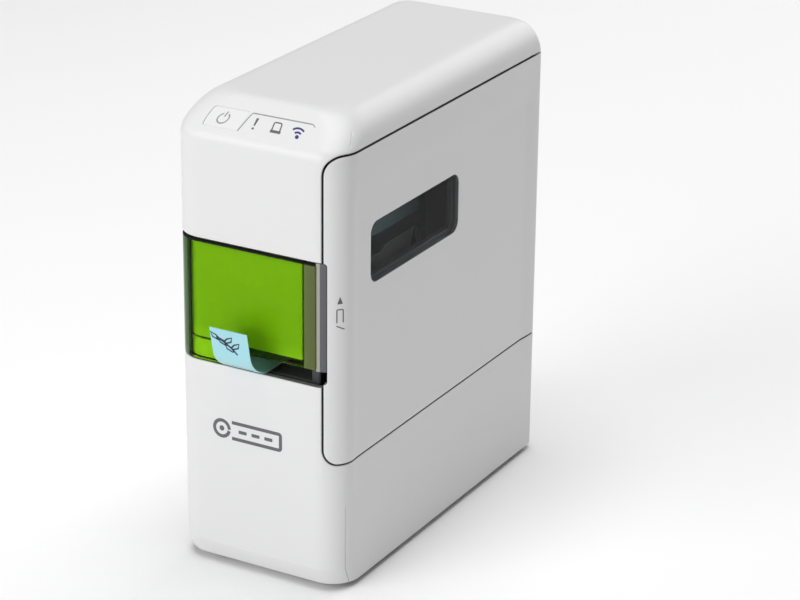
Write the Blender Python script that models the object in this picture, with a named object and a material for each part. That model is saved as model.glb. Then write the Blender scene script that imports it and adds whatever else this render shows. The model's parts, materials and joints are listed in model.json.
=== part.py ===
"""A desktop label maker: a tall white housing with a hinged cassette cover on its right side, and a green
window over the tape exit. Inside are a tape cassette, feed train, thermal head, cutter, boards and six cells.

X runs to the right, Y to the back and Z up. The origin is on the table, under the middle of the bounding box.
Sizes and places are millimetres, and MM turns them into metres where a mesh is made."""

import math

import bmesh
import bpy
import numpy as np
from mathutils import Matrix, Vector

MM = 0.001
GAP = 0.3  # clearance between pieces that meet
PAST = 5.0  # how far a cutter runs past what it cuts

# Driving dimensions
WIDTH = 54.0
DEPTH = 117.0
HEIGHT = 137.0
LABEL_REACH = 9.0  # how far the printed label stands out of the front
WALL = 2.0
FOOT_HEIGHT = 0.95
TAPE_WIDTH = 12.0
TAPE_CENTRE_X = -2.95
TAPE_THICKNESS = 0.2
GEAR_MODULE = 0.8
CUTTER_MODULE = 0.6
CELL_RADIUS = 7.1
CELL_LENGTH = 49.9

# The body's outside
SIDE = WIDTH / 2
FRONT = -(DEPTH + LABEL_REACH) / 2 + LABEL_REACH
BACK = FRONT + DEPTH
BODY_BOTTOM = FOOT_HEIGHT + GAP
FRONT_CORNER = 8.5
BACK_CORNER = 3.0
TOP_EDGE = 10.0
CHAMFER_RUN = 3.2  # the front's lower edge slopes back by this much
CHAMFER_RISE = 4.4
BASE_EDGE = 1.0
BAND_RISE = 9.3  # the sloped control band between the front and the top
BAND_RUN = 11.0
BAND_LOWER_EDGE = 4.0
BAND_UPPER_EDGE = 5.0
BAND_ANGLE = math.atan2(BAND_RISE, BAND_RUN)
BAND_MIDDLE = Vector((0, FRONT + BAND_RUN / 2, HEIGHT - BAND_RISE / 2))

# The cassette cover, on the right side
SEAM = 0.6
COVER_BOTTOM = 39.3
COVER_TOP = 127.5
COVER_FRONT_X = 21.4  # where its front edge lies on the rounded corner
HINGE = Vector((SIDE - BACK_CORNER, BACK - BACK_CORNER, 0))
HINGE_PIN_RADIUS = 1.0
WINDOW_Y = (FRONT + 16.9, FRONT + 65.7)
WINDOW_Z = (87.9, 104.9)
WINDOW_CORNER = 3.0

# The control band: spans across the band in X and up it from its middle
KEY_X = (-17.9, -6.4)
KEY_ALONG = (-4.1, 2.3)
KEY_STEM_X = (-13.9, -10.3)
KEY_STEM_ALONG = (-2.5, 0.9)
LIGHT_X = (-1.7, 5.1, 11.2)  # the status lights' places
BOARD_DEPTH = (-8.2, -7.0)  # the key board, below the band's face

# The green window and the tape exit, on the front
EXIT_BOTTOM = 61.9
EXIT_TOP = 98.0
EXIT_BACK_Y = FRONT + 10.0
NOTCH_BOTTOM = EXIT_BOTTOM + 1.0  # the step in the cover's front edge runs from here to the exit's top
NOTCH_RIGHT_X = COVER_FRONT_X + 0.9
GREEN_BOTTOM = 66.8
GREEN_RIGHT_X = 19.1
SLOT_LEFT_X = TAPE_CENTRE_X - TAPE_WIDTH / 2 - 0.5
TAPE_Z = EXIT_BOTTOM + 0.4
TAPE_LOW_X = TAPE_CENTRE_X - TAPE_WIDTH / 2
TAPE_HIGH_X = TAPE_CENTRE_X + TAPE_WIDTH / 2

# The cell bay, in the base
CELL_PITCH = 2 * CELL_RADIUS + 0.5
BASE_TOP = BODY_BOTTOM + 2.0
CELL_FRONT_Y = FRONT + 12.4
CELL_Z = BASE_TOP + GAP + CELL_RADIUS
HOLDER_WALL = 1.2
HOLDER_SIDE = CELL_PITCH + CELL_RADIUS + GAP
HOLDER_FRONT_Y = CELL_FRONT_Y - 4.0
HOLDER_BACK_Y = BACK - WALL - 0.4
HOLDER_TOP = CELL_Z + CELL_RADIUS + GAP + 1.5

# The base plate's screws, the battery cover and the power inlet
SCREW_X = (-14.0, 14.0)
SCREW_Y = FRONT + 6.0
SCREW_HEAD_RADIUS = 1.5
SCREW_POST_RADIUS = 2.1
COVER_RAIL = 22.2  # half the width that the battery cover slides in
CELL_COVER_FRONT_Y = FRONT + 9.0
FOOT_LENGTH = 24.0
JACK_AT = (-12.0, 30.0)  # (x, z), in the rear wall

# The chassis that holds the cassette, the feed train and the head
CHASSIS_X = (-19.8, 22.0)
CHASSIS_Y = (FRONT + 23.0, BACK - 6.0)
CHASSIS_TOP = 125.0
CHASSIS_FLOOR = 47.6
CHASSIS_WALL = 1.8
CHASSIS_FOOT = 24.0
BAY_LEFT_X = CHASSIS_X[0] + CHASSIS_WALL

# The feed train, on the chassis's left side: every axis runs along X, at these (y, z) places
PLATEN_RADIUS = 5.5
PLATEN_TEETH, IDLER_TEETH, RIBBON_TEETH = 16, 28, 20
REDUCTION_SMALL_TEETH, REDUCTION_LARGE_TEETH, PINION_TEETH = 12, 30, 10
INNER_GEARS_X = (-22.3, -20.5)
OUTER_GEARS_X = (-24.3, -22.7)
AXLE_RADIUS = 1.5
AXLE_CLEARANCE = 0.3


def step_from(place, teeth_a, teeth_b, degrees, module=GEAR_MODULE):
    """The centre of a gear that meshes with the one at place, in the given direction."""
    reach = module * (teeth_a + teeth_b) / 2
    angle = math.radians(degrees)
    return (place[0] + reach * math.cos(angle), place[1] + reach * math.sin(angle))


TO_IDLER, TO_RIBBON, TO_REDUCTION, TO_PINION = 35, 40, -60, -75
PLATEN_AT = (FRONT + 31.5, TAPE_Z - 0.2 - PLATEN_RADIUS)
IDLER_AT = step_from(PLATEN_AT, PLATEN_TEETH, IDLER_TEETH, TO_IDLER)
RIBBON_AT = step_from(IDLER_AT, IDLER_TEETH, RIBBON_TEETH, TO_RIBBON)
REDUCTION_AT = step_from(IDLER_AT, IDLER_TEETH, REDUCTION_SMALL_TEETH, TO_REDUCTION)
PINION_AT = step_from(REDUCTION_AT, REDUCTION_LARGE_TEETH, PINION_TEETH, TO_PINION)

# The tape cassette
CASSETTE_X = (-17.2, 7.7)
CASSETTE_Y = (FRONT + 40.0, FRONT + 108.0)
CASSETTE_Z = (50.5, 112.0)
CASSETTE_WALL = 1.2
ROLL_AT = (FRONT + 87.0, 82.0)
ROLL_RADIUS = 18.0
SUPPLY_AT = (FRONT + 56.0, 101.0)
SPOOL_RADIUS = 6.0
SPINDLE_RADIUS = 1.8

# The thermal head and the cutter
HEAD_PIVOT = (FRONT + 36.05, TAPE_Z + 18.2)
HEAD_X = (TAPE_LOW_X - 2.0, TAPE_HIGH_X + 2.0)
HEAD_SHAFT_RADIUS = 1.2
SPRING_TOP = TAPE_Z + 12.3  # the underside of the bridge that the head's spring pushes on
BLADE_PIVOT = (9.0, TAPE_Z - 1.3)  # (x, z); the blade turns about a line along Y
BLADE_Y = (FRONT + 14.8, FRONT + 15.6)
FIXED_BLADE_Y = (FRONT + 16.0, FRONT + 16.8)
CUTTER_FRAME_Y = (FRONT + 17.1, FRONT + 18.3)
CRANK_GEAR_Y = (FRONT + 18.6, FRONT + 20.2)
CRANK_TEETH, CUTTER_PINION_TEETH = 24, 10
CRANK_AT = (BLADE_PIVOT[0], BLADE_PIVOT[1] - 18.0)
CRANK_THROW = 4.0
CRANK_PIN_RADIUS = 1.0
TO_CUTTER_PINION = 210
CUTTER_PINION_AT = step_from(CRANK_AT, CRANK_TEETH, CUTTER_PINION_TEETH, TO_CUTTER_PINION, CUTTER_MODULE)

# Colour (red, green, blue), roughness and metallic of each material
MATERIALS = {
    "white_plastic": ((0.80, 0.80, 0.80), 0.40, 0.0),
    "key_plastic": ((0.83, 0.83, 0.83), 0.35, 0.0),
    "green_clear": ((0.16, 0.45, 0.02), 0.08, 0.0),
    "lime_plastic": ((0.25, 0.55, 0.03), 0.35, 0.0),
    "smoked_clear": ((0.03, 0.035, 0.04), 0.06, 0.0),
    "dark_plastic": ((0.05, 0.05, 0.055), 0.45, 0.0),
    "grey_plastic": ((0.30, 0.30, 0.31), 0.50, 0.0),
    "white_gear_plastic": ((0.75, 0.74, 0.70), 0.40, 0.0),
    "rubber": ((0.03, 0.03, 0.03), 0.85, 0.0),
    "steel": ((0.60, 0.60, 0.62), 0.30, 1.0),
    "aluminium": ((0.70, 0.70, 0.72), 0.35, 1.0),
    "brass": ((0.72, 0.55, 0.25), 0.30, 1.0),
    "board_green": ((0.02, 0.16, 0.07), 0.40, 0.0),
    "ceramic": ((0.72, 0.71, 0.67), 0.30, 0.0),
    "cell_wrap": ((0.10, 0.11, 0.13), 0.35, 0.2),
    "label_film": ((0.34, 0.62, 0.69), 0.35, 0.0),
    "teal_print": ((0.09, 0.22, 0.21), 0.45, 0.0),
    "light_guide": ((0.75, 0.78, 0.80), 0.15, 0.0),
}


# Scene and materials


def clear_scene():
    for obj in list(bpy.data.objects):
        bpy.data.objects.remove(obj, do_unlink=True)


def material(name):
    found = bpy.data.materials.get(name)
    if found:
        return found
    colour, roughness, metallic = MATERIALS[name]
    made = bpy.data.materials.new(name)
    made.use_nodes = True
    shader = made.node_tree.nodes["Principled BSDF"]
    shader.inputs["Base Color"].default_value = (*colour, 1.0)
    shader.inputs["Roughness"].default_value = roughness
    shader.inputs["Metallic"].default_value = metallic
    made.diffuse_color = (*colour, 1.0)
    return made


# Shapes: each function returns a bmesh in millimetres


def prism(outline, axis, low, high):
    """A solid with this outline. For axis X the outline is (y, z), for Y it is (x, z), for Z it is (x, y)."""
    places = {"X": lambda a, b, t: (t, a, b), "Y": lambda a, b, t: (a, t, b), "Z": lambda a, b, t: (a, b, t)}
    place = places[axis]
    bm = bmesh.new()
    bottom = [bm.verts.new(place(a, b, low)) for a, b in outline]
    top = [bm.verts.new(place(a, b, high)) for a, b in outline]
    count = len(outline)
    for i in range(count):
        j = (i + 1) % count
        bm.faces.new((bottom[i], bottom[j], top[j], top[i]))
    bm.faces.new(bottom)
    bm.faces.new(top)
    return bm


def box(low, high, bevel=0.0):
    outline = [(low[0], low[1]), (high[0], low[1]), (high[0], high[1]), (low[0], high[1])]
    bm = prism(outline, "Z", low[2], high[2])
    if bevel:
        bmesh.ops.bevel(bm, geom=bm.edges[:], offset=bevel, segments=1, profile=0.5, affect="EDGES")
    return bm


def circle(centre, radius, sides, start=0.0, sweep=2 * math.pi):
    """Points round a circle, or along an arc with both of its ends."""
    steps = sides if sweep == 2 * math.pi else sides + 1
    angles = [start + sweep * i / sides for i in range(steps)]
    return [(centre[0] + radius * math.cos(a), centre[1] + radius * math.sin(a)) for a in angles]


def cylinder(axis, centre, radius, low, high, sides=20):
    return prism(circle(centre, radius, sides), axis, low, high)


def rounded_rectangle(low, high, radius, segments=3):
    quarter = math.pi / 2
    corners = [(high[0], high[1], 0), (low[0], high[1], 1), (low[0], low[1], 2), (high[0], low[1], 3)]
    points = []
    for x, y, turn in corners:
        inward_x = -radius if x == high[0] else radius
        inward_y = -radius if y == high[1] else radius
        points += circle((x + inward_x, y + inward_y), radius, segments, turn * quarter, quarter)
    return points


def turned(axis, centre, profile, sides=20):
    """A solid of revolution. The profile is a closed loop of (radius, position along the axis)."""
    bm = bmesh.new()
    rings = []
    for radius, along in profile:
        count = sides if radius > 0 else 1
        rings.append([bm.verts.new(axis_point(axis, centre, radius, along, i, sides)) for i in range(count)])
    pairs = list(zip(rings, rings[1:] + rings[:1]))
    for ring, following in pairs:
        if len(ring) == 1 and len(following) == 1:
            continue
        for i in range(sides):
            j = (i + 1) % sides
            corners = [ring[i % len(ring)], ring[j % len(ring)]]
            corners += [following[j % len(following)], following[i % len(following)]]
            bm.faces.new(list(dict.fromkeys(corners)))
    return bm


def axis_point(axis, centre, radius, along, step, sides):
    angle = 2 * math.pi * step / sides
    a = centre[0] + radius * math.cos(angle)
    b = centre[1] + radius * math.sin(angle)
    return {"X": (along, a, b), "Y": (a, along, b), "Z": (a, b, along)}[axis]


def fillet_path(corners, segments):
    """A line through corners of (a, b, radius), with each inner corner rounded by an arc."""
    points = [Vector(corners[0][:2])]
    for before, corner, after in zip(corners, corners[1:], corners[2:]):
        here = Vector(corner[:2])
        to_before = (Vector(before[:2]) - here).normalized()
        to_after = (Vector(after[:2]) - here).normalized()
        half = to_before.angle(to_after) / 2
        radius = corner[2]
        centre = here + (to_before + to_after).normalized() * (radius / math.sin(half))
        start = here + to_before * (radius / math.tan(half)) - centre
        end = here + to_after * (radius / math.tan(half)) - centre
        turn = start.angle_signed(end)
        for i in range(segments + 1):
            spoke = Matrix.Rotation(-turn * i / segments, 2) @ start
            points.append(centre + spoke)
    points.append(Vector(corners[-1][:2]))
    return [tuple(p) for p in points]


def involute_gear_outline(teeth, module, centre, phase, backlash=0.12):
    """The outline of a spur gear with a tooth centred on the phase angle, its flanks thinned for backlash."""
    pressure = math.radians(20)
    pitch = module * teeth / 2
    base = pitch * math.cos(pressure)
    tip = pitch + module
    root = pitch - 1.25 * module
    half_at_pitch = math.pi / (2 * teeth) - backlash / (2 * pitch)
    involute_at_pitch = math.tan(pressure) - pressure

    def half_angle(radius):
        if radius <= base:
            return half_at_pitch + involute_at_pitch
        slope = math.acos(base / radius)
        return half_at_pitch + involute_at_pitch - (math.tan(slope) - slope)

    flank = [root, max(root, base) + 0.15 * module, pitch + 0.2 * module, tip]
    points = []
    for i in range(teeth):
        middle = phase + 2 * math.pi * i / teeth
        for radius in flank:
            points.append((radius, middle - half_angle(radius)))
        for radius in reversed(flank):
            points.append((radius, middle + half_angle(radius)))
    return [(centre[0] + r * math.cos(a), centre[1] + r * math.sin(a)) for r, a in points]


def meshing_phase(phase, teeth, direction, other_teeth):
    """The phase that puts the other gear's gap where this gear's tooth points, in a direction in degrees."""
    toward = math.radians(direction)
    tooth_offset = (toward - phase) * teeth / (2 * math.pi)
    return toward + math.pi - (2 * math.pi / other_teeth) * (0.5 - tooth_offset)


def plan_outline(half_width, y_front, y_back, front_radius, back_radius, segments):
    """The body's rounded rectangle at one height, anticlockwise from the back right corner."""
    quarter = math.pi / 2
    corners = [
        (half_width - back_radius, y_back - back_radius, back_radius),
        (-half_width + back_radius, y_back - back_radius, back_radius),
        (-half_width + front_radius, y_front + front_radius, front_radius),
        (half_width - front_radius, y_front + front_radius, front_radius),
    ]
    points = []
    for turn, (x, y, radius) in enumerate(corners):
        points += circle((x, y), radius, segments, turn * quarter, quarter)
    return points


def loft(outlines):
    """A closed solid through outlines of (z, points), each with the same number of points."""
    bm = bmesh.new()
    rings = [[bm.verts.new((x, y, z)) for x, y in points] for z, points in outlines]
    for lower, upper in zip(rings, rings[1:]):
        for i in range(len(lower)):
            j = (i + 1) % len(lower)
            bm.faces.new((lower[i], lower[j], upper[j], upper[i]))
    bm.faces.new(rings[0])
    bm.faces.new(rings[-1])
    return bm


def body_form(inset, segments=4, open_below=False):
    """The body's outer form, pulled in all round by the inset."""
    bottom = BODY_BOTTOM - 3.0 if open_below else BODY_BOTTOM
    top = HEIGHT - inset
    slope = math.tan(BAND_ANGLE)
    shift = inset / math.cos(BAND_ANGLE)
    band_low = HEIGHT - BAND_RISE - shift + inset * slope
    band_back = FRONT + BAND_RUN + (shift - inset) / slope

    def rounded(radius):
        return max(radius - inset, 0.6)

    front = [(FRONT + inset + 8, bottom), (FRONT + inset + CHAMFER_RUN, bottom, 0.6)]
    front += [(FRONT + inset, bottom + CHAMFER_RISE, 0.6), (FRONT + inset, band_low, rounded(BAND_LOWER_EDGE))]
    front += [(band_back, top, rounded(BAND_UPPER_EDGE)), (FRONT + 40, top)]
    side = [(SIDE - inset - 6, bottom), (SIDE - inset, bottom, BASE_EDGE)]
    side += [(SIDE - inset, top, rounded(TOP_EDGE)), (0, top)]
    back = [(BACK - inset - 6, bottom), (BACK - inset, bottom, BASE_EDGE)]
    back += [(BACK - inset, top, rounded(BACK_CORNER)), (0, top)]
    if open_below:
        front = [(FRONT + inset, bottom)] + front[3:]
        side = [(SIDE - inset, bottom)] + side[2:]
        back = [(BACK - inset, bottom)] + back[2:]
    first = 0 if open_below else 1
    profiles = [np.array(fillet_path(corners, segments)[first:-1]) for corners in (front, side, back)]
    heights = merged_heights(np.concatenate([profile[:, 1] for profile in profiles]), bottom, top)
    outlines = []
    for z in heights:
        y_front, half_width, y_back = (np.interp(z, profile[:, 1], profile[:, 0]) for profile in profiles)
        corners = (rounded(FRONT_CORNER), rounded(BACK_CORNER))
        outlines.append((z, plan_outline(half_width, y_front, y_back, *corners, segments)))
    return loft(outlines)


def merged_heights(values, bottom, top, closest=0.12):
    """The heights in order, leaving out those that lie almost on their neighbour."""
    kept = [bottom]
    for z in sorted(values):
        if z > kept[-1] + closest and z < top - closest:
            kept.append(z)
    return kept + [top]


def band_box(x_range, along, depth):
    """A box square to the sloped band: along runs up it and depth out of it, both from its middle."""
    bm = box((x_range[0], along[0], depth[0]), (x_range[1], along[1], depth[1]))
    bm.transform(Matrix.Translation(BAND_MIDDLE) @ Matrix.Rotation(BAND_ANGLE, 4, "X"))
    return bm


def coil(centre, low, high, radius, wire, turns, steps=10, sides=5):
    """A round wire wound along Z, with closed ends."""
    bm = bmesh.new()
    count = int(turns * steps)
    climb = high - low - 2 * wire
    rings = []
    for i in range(count + 1):
        angle = 2 * math.pi * i / steps
        middle = Vector((radius * math.cos(angle), radius * math.sin(angle), low + wire + climb * i / count))
        out = Vector((math.cos(angle), math.sin(angle), 0))
        ring = []
        for k in range(sides):
            spoke = 2 * math.pi * k / sides
            point = middle + out * (wire * math.cos(spoke)) + Vector((0, 0, wire * math.sin(spoke)))
            ring.append(bm.verts.new(point + Vector((centre[0], centre[1], 0))))
        rings.append(ring)
    for ring, following in zip(rings, rings[1:]):
        for k in range(sides):
            j = (k + 1) % sides
            bm.faces.new((ring[k], ring[j], following[j], following[k]))
    bm.faces.new(rings[0])
    bm.faces.new(rings[-1])
    return bm


# Objects


def solid(name, bm, material_name, origin=(0, 0, 0)):
    """An object from a bmesh in millimetres, with its origin at a given place."""
    bmesh.ops.recalc_face_normals(bm, faces=bm.faces[:])
    mesh = bpy.data.meshes.new(name)
    bm.to_mesh(mesh)
    bm.free()
    place = Vector(origin)
    mesh.transform(Matrix.Scale(MM, 4) @ Matrix.Translation(-place))
    mesh.materials.append(material(material_name))
    mesh.shade_smooth()
    mesh.set_sharp_from_angle(angle=math.radians(32))
    obj = bpy.data.objects.new(name, mesh)
    obj.location = place * MM
    bpy.context.scene.collection.objects.link(obj)
    return obj


def combine(target, bm, operation):
    """Adds, cuts or keeps a shape by a Boolean with a hidden helper."""
    name = f"{target.name}_{operation.lower()}_{len(target.modifiers)}"
    helper = solid(name, bm, target.data.materials[0].name)
    helper.hide_render = True
    helper.display_type = "WIRE"
    modifier = target.modifiers.new(name, "BOOLEAN")
    modifier.operation = operation
    modifier.solver = "EXACT"
    modifier.object = helper


def add(target, *shapes):
    for shape in shapes:
        combine(target, shape, "UNION")


def cut(target, *shapes):
    for shape in shapes:
        combine(target, shape, "DIFFERENCE")


def keep(target, shape):
    combine(target, shape, "INTERSECT")


# The outside


def ledge(low, high, y_front):
    """A shelf inside the right side that frames the cover's opening above or below."""
    helper_form = plan_outline(SIDE - 1, y_front, BACK - 1, FRONT_CORNER - 1, BACK_CORNER - 1, 4)
    inner_x = 18.0
    kept = [(x, y) for x, y in helper_form if x > inner_x]
    behind = [(x, y) for x, y in kept if y > 0]
    ahead = [(x, y) for x, y in kept if y < 0]
    outline = ahead + behind + [(inner_x, BACK - 1), (inner_x, y_front)]
    return prism(outline, "Z", low, high)


def cover_opening():
    """The plan outline of what the cover and its hinge barrel leave out of the housing."""
    left = COVER_FRONT_X - SEAM
    behind = HINGE.x - BACK_CORNER - GAP
    outside = SIDE + PAST
    outline = [(left, FRONT - PAST), (outside, FRONT - PAST), (outside, BACK + PAST)]
    return outline + [(behind, BACK + PAST), (behind, BACK - 6), (left, BACK - 6)]


def grown(span, margin):
    """A span made wider by the margin at both ends."""
    return (span[0] - margin, span[1] + margin)


def key_shape(clearance, depth):
    return band_box(grown(KEY_X, clearance), grown(KEY_ALONG, clearance), depth)


def make_main_housing():
    obj = solid("main_housing", body_form(0.0), "white_plastic")
    cut(obj, body_form(WALL, 3, open_below=True))
    add(obj, ledge(COVER_BOTTOM - SEAM - 2.0, COVER_BOTTOM - SEAM, FRONT + 1))
    add(obj, ledge(COVER_TOP + SEAM, COVER_TOP + SEAM + 2.0, FRONT + 7))
    for x in SCREW_X:
        low, high = BASE_TOP + GAP, BASE_TOP + 14
        add(obj, cylinder("Z", (x, SCREW_Y), SCREW_POST_RADIUS, low, high, 12))
        add(obj, box((x - 1.0, FRONT + WALL / 2, low), (x + 1.0, SCREW_Y, high - 1.0)))
    cut(obj, prism(cover_opening(), "Z", COVER_BOTTOM - SEAM, COVER_TOP + SEAM))
    cut(obj, box((-SIDE - PAST, FRONT - PAST, EXIT_BOTTOM), (COVER_FRONT_X + PAST, EXIT_BACK_Y, EXIT_TOP)))
    cut(obj, key_shape(GAP, (-PAST, PAST)))
    cut(obj, cylinder("Y", JACK_AT, 3.9, BACK - 6, BACK + 4, 16))
    cut(obj, prism(cover_groove(BASE_TOP + GAP), "Y", BACK - 8, BACK + PAST))
    for x in SCREW_X:
        cut(obj, cylinder("Z", (x, SCREW_Y), 1.3, BASE_TOP - 4, BASE_TOP + 11, 10))
    for low, high in hinge_pin_spans():
        cut(obj, cylinder("Z", HINGE[:2], HINGE_PIN_RADIUS + 0.05 + GAP, low - GAP, high + GAP, 12))


def hinge_pin_spans():
    """The lowest and highest point of the lower and the upper hinge pin."""
    length = 8.0
    return ((COVER_BOTTOM - SEAM - 1.5, COVER_BOTTOM + length), (COVER_TOP - length, COVER_TOP + SEAM + 1.5))


def make_cover():
    corner = (SIDE - FRONT_CORNER, FRONT + FRONT_CORNER)
    front_edge = COVER_FRONT_X - corner[0]
    outer_end = math.acos(front_edge / FRONT_CORNER)
    inner_end = math.acos(front_edge / (FRONT_CORNER - WALL))
    barrel_exit = math.acos((SIDE - WALL - HINGE.x) / BACK_CORNER)
    outline = circle(corner, FRONT_CORNER, 6, -outer_end, outer_end)
    outline += circle(HINGE[:2], BACK_CORNER, 14, 0, 2 * math.pi - barrel_exit)
    outline += list(reversed(circle(corner, FRONT_CORNER - WALL, 6, -inner_end, inner_end)))
    obj = solid("tape_cover", prism(outline, "Z", COVER_BOTTOM, COVER_TOP), "white_plastic", HINGE)
    cut(obj, box((0, FRONT - PAST, NOTCH_BOTTOM), (NOTCH_RIGHT_X, FRONT + PAST, EXIT_TOP)))
    cut(obj, prism(window_outline(GAP), "X", SIDE - 6, SIDE + PAST))
    for low, high in hinge_pin_spans():
        cut(obj, cylinder("Z", HINGE[:2], HINGE_PIN_RADIUS + GAP, low - GAP, high + GAP, 12))


def window_outline(margin):
    """The side window's rounded outline as (y, z), made larger by the margin."""
    low = (WINDOW_Y[0] - margin, WINDOW_Z[0] - margin)
    high = (WINDOW_Y[1] + margin, WINDOW_Z[1] + margin)
    return rounded_rectangle(low, high, WINDOW_CORNER + margin)


def make_cover_window():
    pane = prism(window_outline(0.0), "X", SIDE - WALL + GAP, SIDE - 0.4)
    solid("cover_window", pane, "smoked_clear", HINGE)


def make_cover_inner_frame():
    """The dark frame behind the cover that holds the pane."""
    outer_x = SIDE - WALL - GAP
    frame = prism(window_outline(4.0), "X", outer_x - 1.5, outer_x)
    obj = solid("cover_inner_frame", frame, "dark_plastic", HINGE)
    cut(obj, prism(window_outline(-1.0), "X", outer_x - PAST, outer_x + PAST))


def make_cover_latch():
    """The hook that snaps behind the chassis when the cover shuts."""
    outer_x = SIDE - WALL - GAP
    z_range = (73.5, 83.5)
    y = FRONT + 14.0
    outline = [(outer_x, y), (outer_x, y + 6), (outer_x - 2, y + 6), (outer_x - 2, y + 2)]
    outline += [(outer_x - 7, y + 2), (outer_x - 7, y + 3.4), (outer_x - 9, y + 1.6), (outer_x - 8.4, y)]
    solid("cover_latch", prism(outline, "Z", *z_range), "grey_plastic", HINGE)


def make_hinge_pins():
    for name, (low, high) in zip(("lower_hinge_pin", "upper_hinge_pin"), hinge_pin_spans()):
        solid(name, cylinder("Z", HINGE[:2], HINGE_PIN_RADIUS, low, high, 16), "steel")


def skin_outline(left_y, right_x, outer_inset, thickness, segments=6):
    """The plan of a panel that wraps from the left side round the front left corner to near the right one."""
    points = []
    for inset, order in ((outer_inset, 1), (outer_inset + thickness, -1)):
        radius = FRONT_CORNER - inset
        left = (-SIDE + FRONT_CORNER, FRONT + FRONT_CORNER)
        line = [(-SIDE + inset, left_y)] + circle(left, radius, segments, math.pi, math.pi / 2)
        line.append((right_x, FRONT + inset))
        points += line[::order]
    return points


def make_front_window():
    """The clear green panel over the tape exit, with a tab down beside the label on the left."""
    outline = skin_outline(EXIT_BACK_Y - GAP, GREEN_RIGHT_X, 0.0, 1.8)
    obj = solid("front_window", prism(outline, "Z", EXIT_BOTTOM + GAP, EXIT_TOP - 0.9), "green_clear")
    cut(obj, box((SLOT_LEFT_X, FRONT - PAST, EXIT_BOTTOM - PAST), (SIDE + PAST, FRONT + PAST, GREEN_BOTTOM)))


def make_window_backing():
    low = (-18.4, FRONT + 1.8 + GAP, GREEN_BOTTOM + 0.8)
    high = (15.3, FRONT + 3.1, EXIT_TOP - 2.0)
    solid("window_backing", box(low, high, 0.2), "lime_plastic")


def make_exit_guide():
    """The black throat that the tape leaves through."""
    low = (-15.0, FRONT + 3.4, EXIT_BOTTOM - 4.5)
    high = (GREEN_RIGHT_X - 0.5, FRONT + 9.8, GREEN_BOTTOM + 6)
    obj = solid("tape_exit_guide", box(low, high, 0.3), "dark_plastic")
    slot_low = (SLOT_LEFT_X - 1, FRONT, EXIT_BOTTOM + 0.1)
    cut(obj, box(slot_low, (GREEN_RIGHT_X - 3, FRONT + 15, GREEN_BOTTOM + 0.5)))


def make_corner_pillar():
    """The dark post between the green window and the cover's edge."""
    corner = (SIDE - FRONT_CORNER, FRONT + FRONT_CORNER)
    radius = FRONT_CORNER - 0.5
    start = -math.acos((GREEN_RIGHT_X + GAP - corner[0]) / radius)
    end = -math.acos((NOTCH_RIGHT_X - 0.4 - corner[0]) / radius)
    outline = circle(corner, radius, 4, start, end - start)
    outline += circle(corner, radius - 2.0, 4, start, end - start)[::-1]
    solid("corner_pillar", prism(outline, "Z", GREEN_BOTTOM - 0.4, EXIT_TOP - GAP), "dark_plastic")


def make_power_key():
    middle = BAND_MIDDLE + Vector((sum(KEY_X) / 2, 0, 0))
    obj = solid("power_key", key_shape(0.0, (-1.8, 0.0)), "key_plastic", middle)
    add(obj, band_box(KEY_STEM_X, KEY_STEM_ALONG, (-4.5, -1.0)))


def make_light_guide():
    bar = band_box((-4.5, 13.0), (-3.4, 0.6), (-3.4, -WALL - GAP))
    obj = solid("indicator_light_guide", bar, "light_guide")
    for x in LIGHT_X:
        add(obj, band_box((x - 1, x + 1), (-2.4, -0.4), (-5.4, -3.0)))


def make_key_board():
    """The board under the band, with the key's switch and the lights on it."""
    obj = solid("key_board", band_box((-20.5, 13.5), (-5.5, 4.5), BOARD_DEPTH), "board_green")
    add(obj, band_box(grown(KEY_STEM_X, 0.4), grown(KEY_STEM_ALONG, 0.4), (-7.4, -5.4)))
    for x in LIGHT_X:
        add(obj, band_box((x - 0.8, x + 0.8), (-2.0, -0.8), (-7.4, -6.0)))


# The base


def cover_groove(top):
    """The stepped groove, seen along Y, that the battery cover slides in."""
    step = BODY_BOTTOM + 0.9
    right = [(COVER_RAIL, -5), (COVER_RAIL, step), (COVER_RAIL + 1, step), (COVER_RAIL + 1, top)]
    return right + [(-x, z) for x, z in reversed(right)]


def make_base_plate():
    edge = WALL + GAP
    front = FRONT + CHAMFER_RUN - 0.2
    outline = plan_outline(SIDE - edge, front, BACK - edge, FRONT_CORNER - WALL, 0.8, 3)
    obj = solid("base_plate", prism(outline, "Z", BODY_BOTTOM, BASE_TOP), "white_plastic")
    keep(obj, body_form(0.0))
    cut(obj, prism(cover_groove(BASE_TOP + PAST), "Y", CELL_COVER_FRONT_Y - GAP, BACK + PAST))
    for x in SCREW_X:
        cut(obj, cylinder("Z", (x, SCREW_Y), 1.35, -PAST, BASE_TOP + PAST, 10))
        cut(obj, cylinder("Z", (x, SCREW_Y), SCREW_HEAD_RADIUS + GAP, -PAST, BODY_BOTTOM + 1.0, 14))


def make_battery_cover():
    """The cover under the cells. Its flanges slide in the base plate's grooves."""
    step = BODY_BOTTOM + 0.9 + GAP
    side = COVER_RAIL - GAP
    top = BASE_TOP - 0.15
    outline = [(-side, BODY_BOTTOM), (side, BODY_BOTTOM), (side, step), (side + 1, step), (side + 1, top)]
    outline += [(-side - 1, top), (-side - 1, step), (-side, step)]
    obj = solid("battery_cover", prism(outline, "Y", CELL_COVER_FRONT_Y, BACK - 0.3), "white_plastic")
    for i in range(5):
        y = BACK - 24 + 3 * i
        cut(obj, box((-7, y, -PAST), (7, y + 1.2, BODY_BOTTOM + 0.5)))


def make_feet():
    for end, y in (("front", FRONT + 10), ("back", BACK - 32)):
        for side, sign in (("left", -1), ("right", 1)):
            near, far = sorted((sign * (COVER_RAIL + 0.25), sign * (COVER_RAIL + 2.35)))
            foot = box((near, y, 0), (far, y + FOOT_LENGTH, FOOT_HEIGHT))
            solid(f"rubber_foot_{end}_{side}", foot, "rubber")


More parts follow.
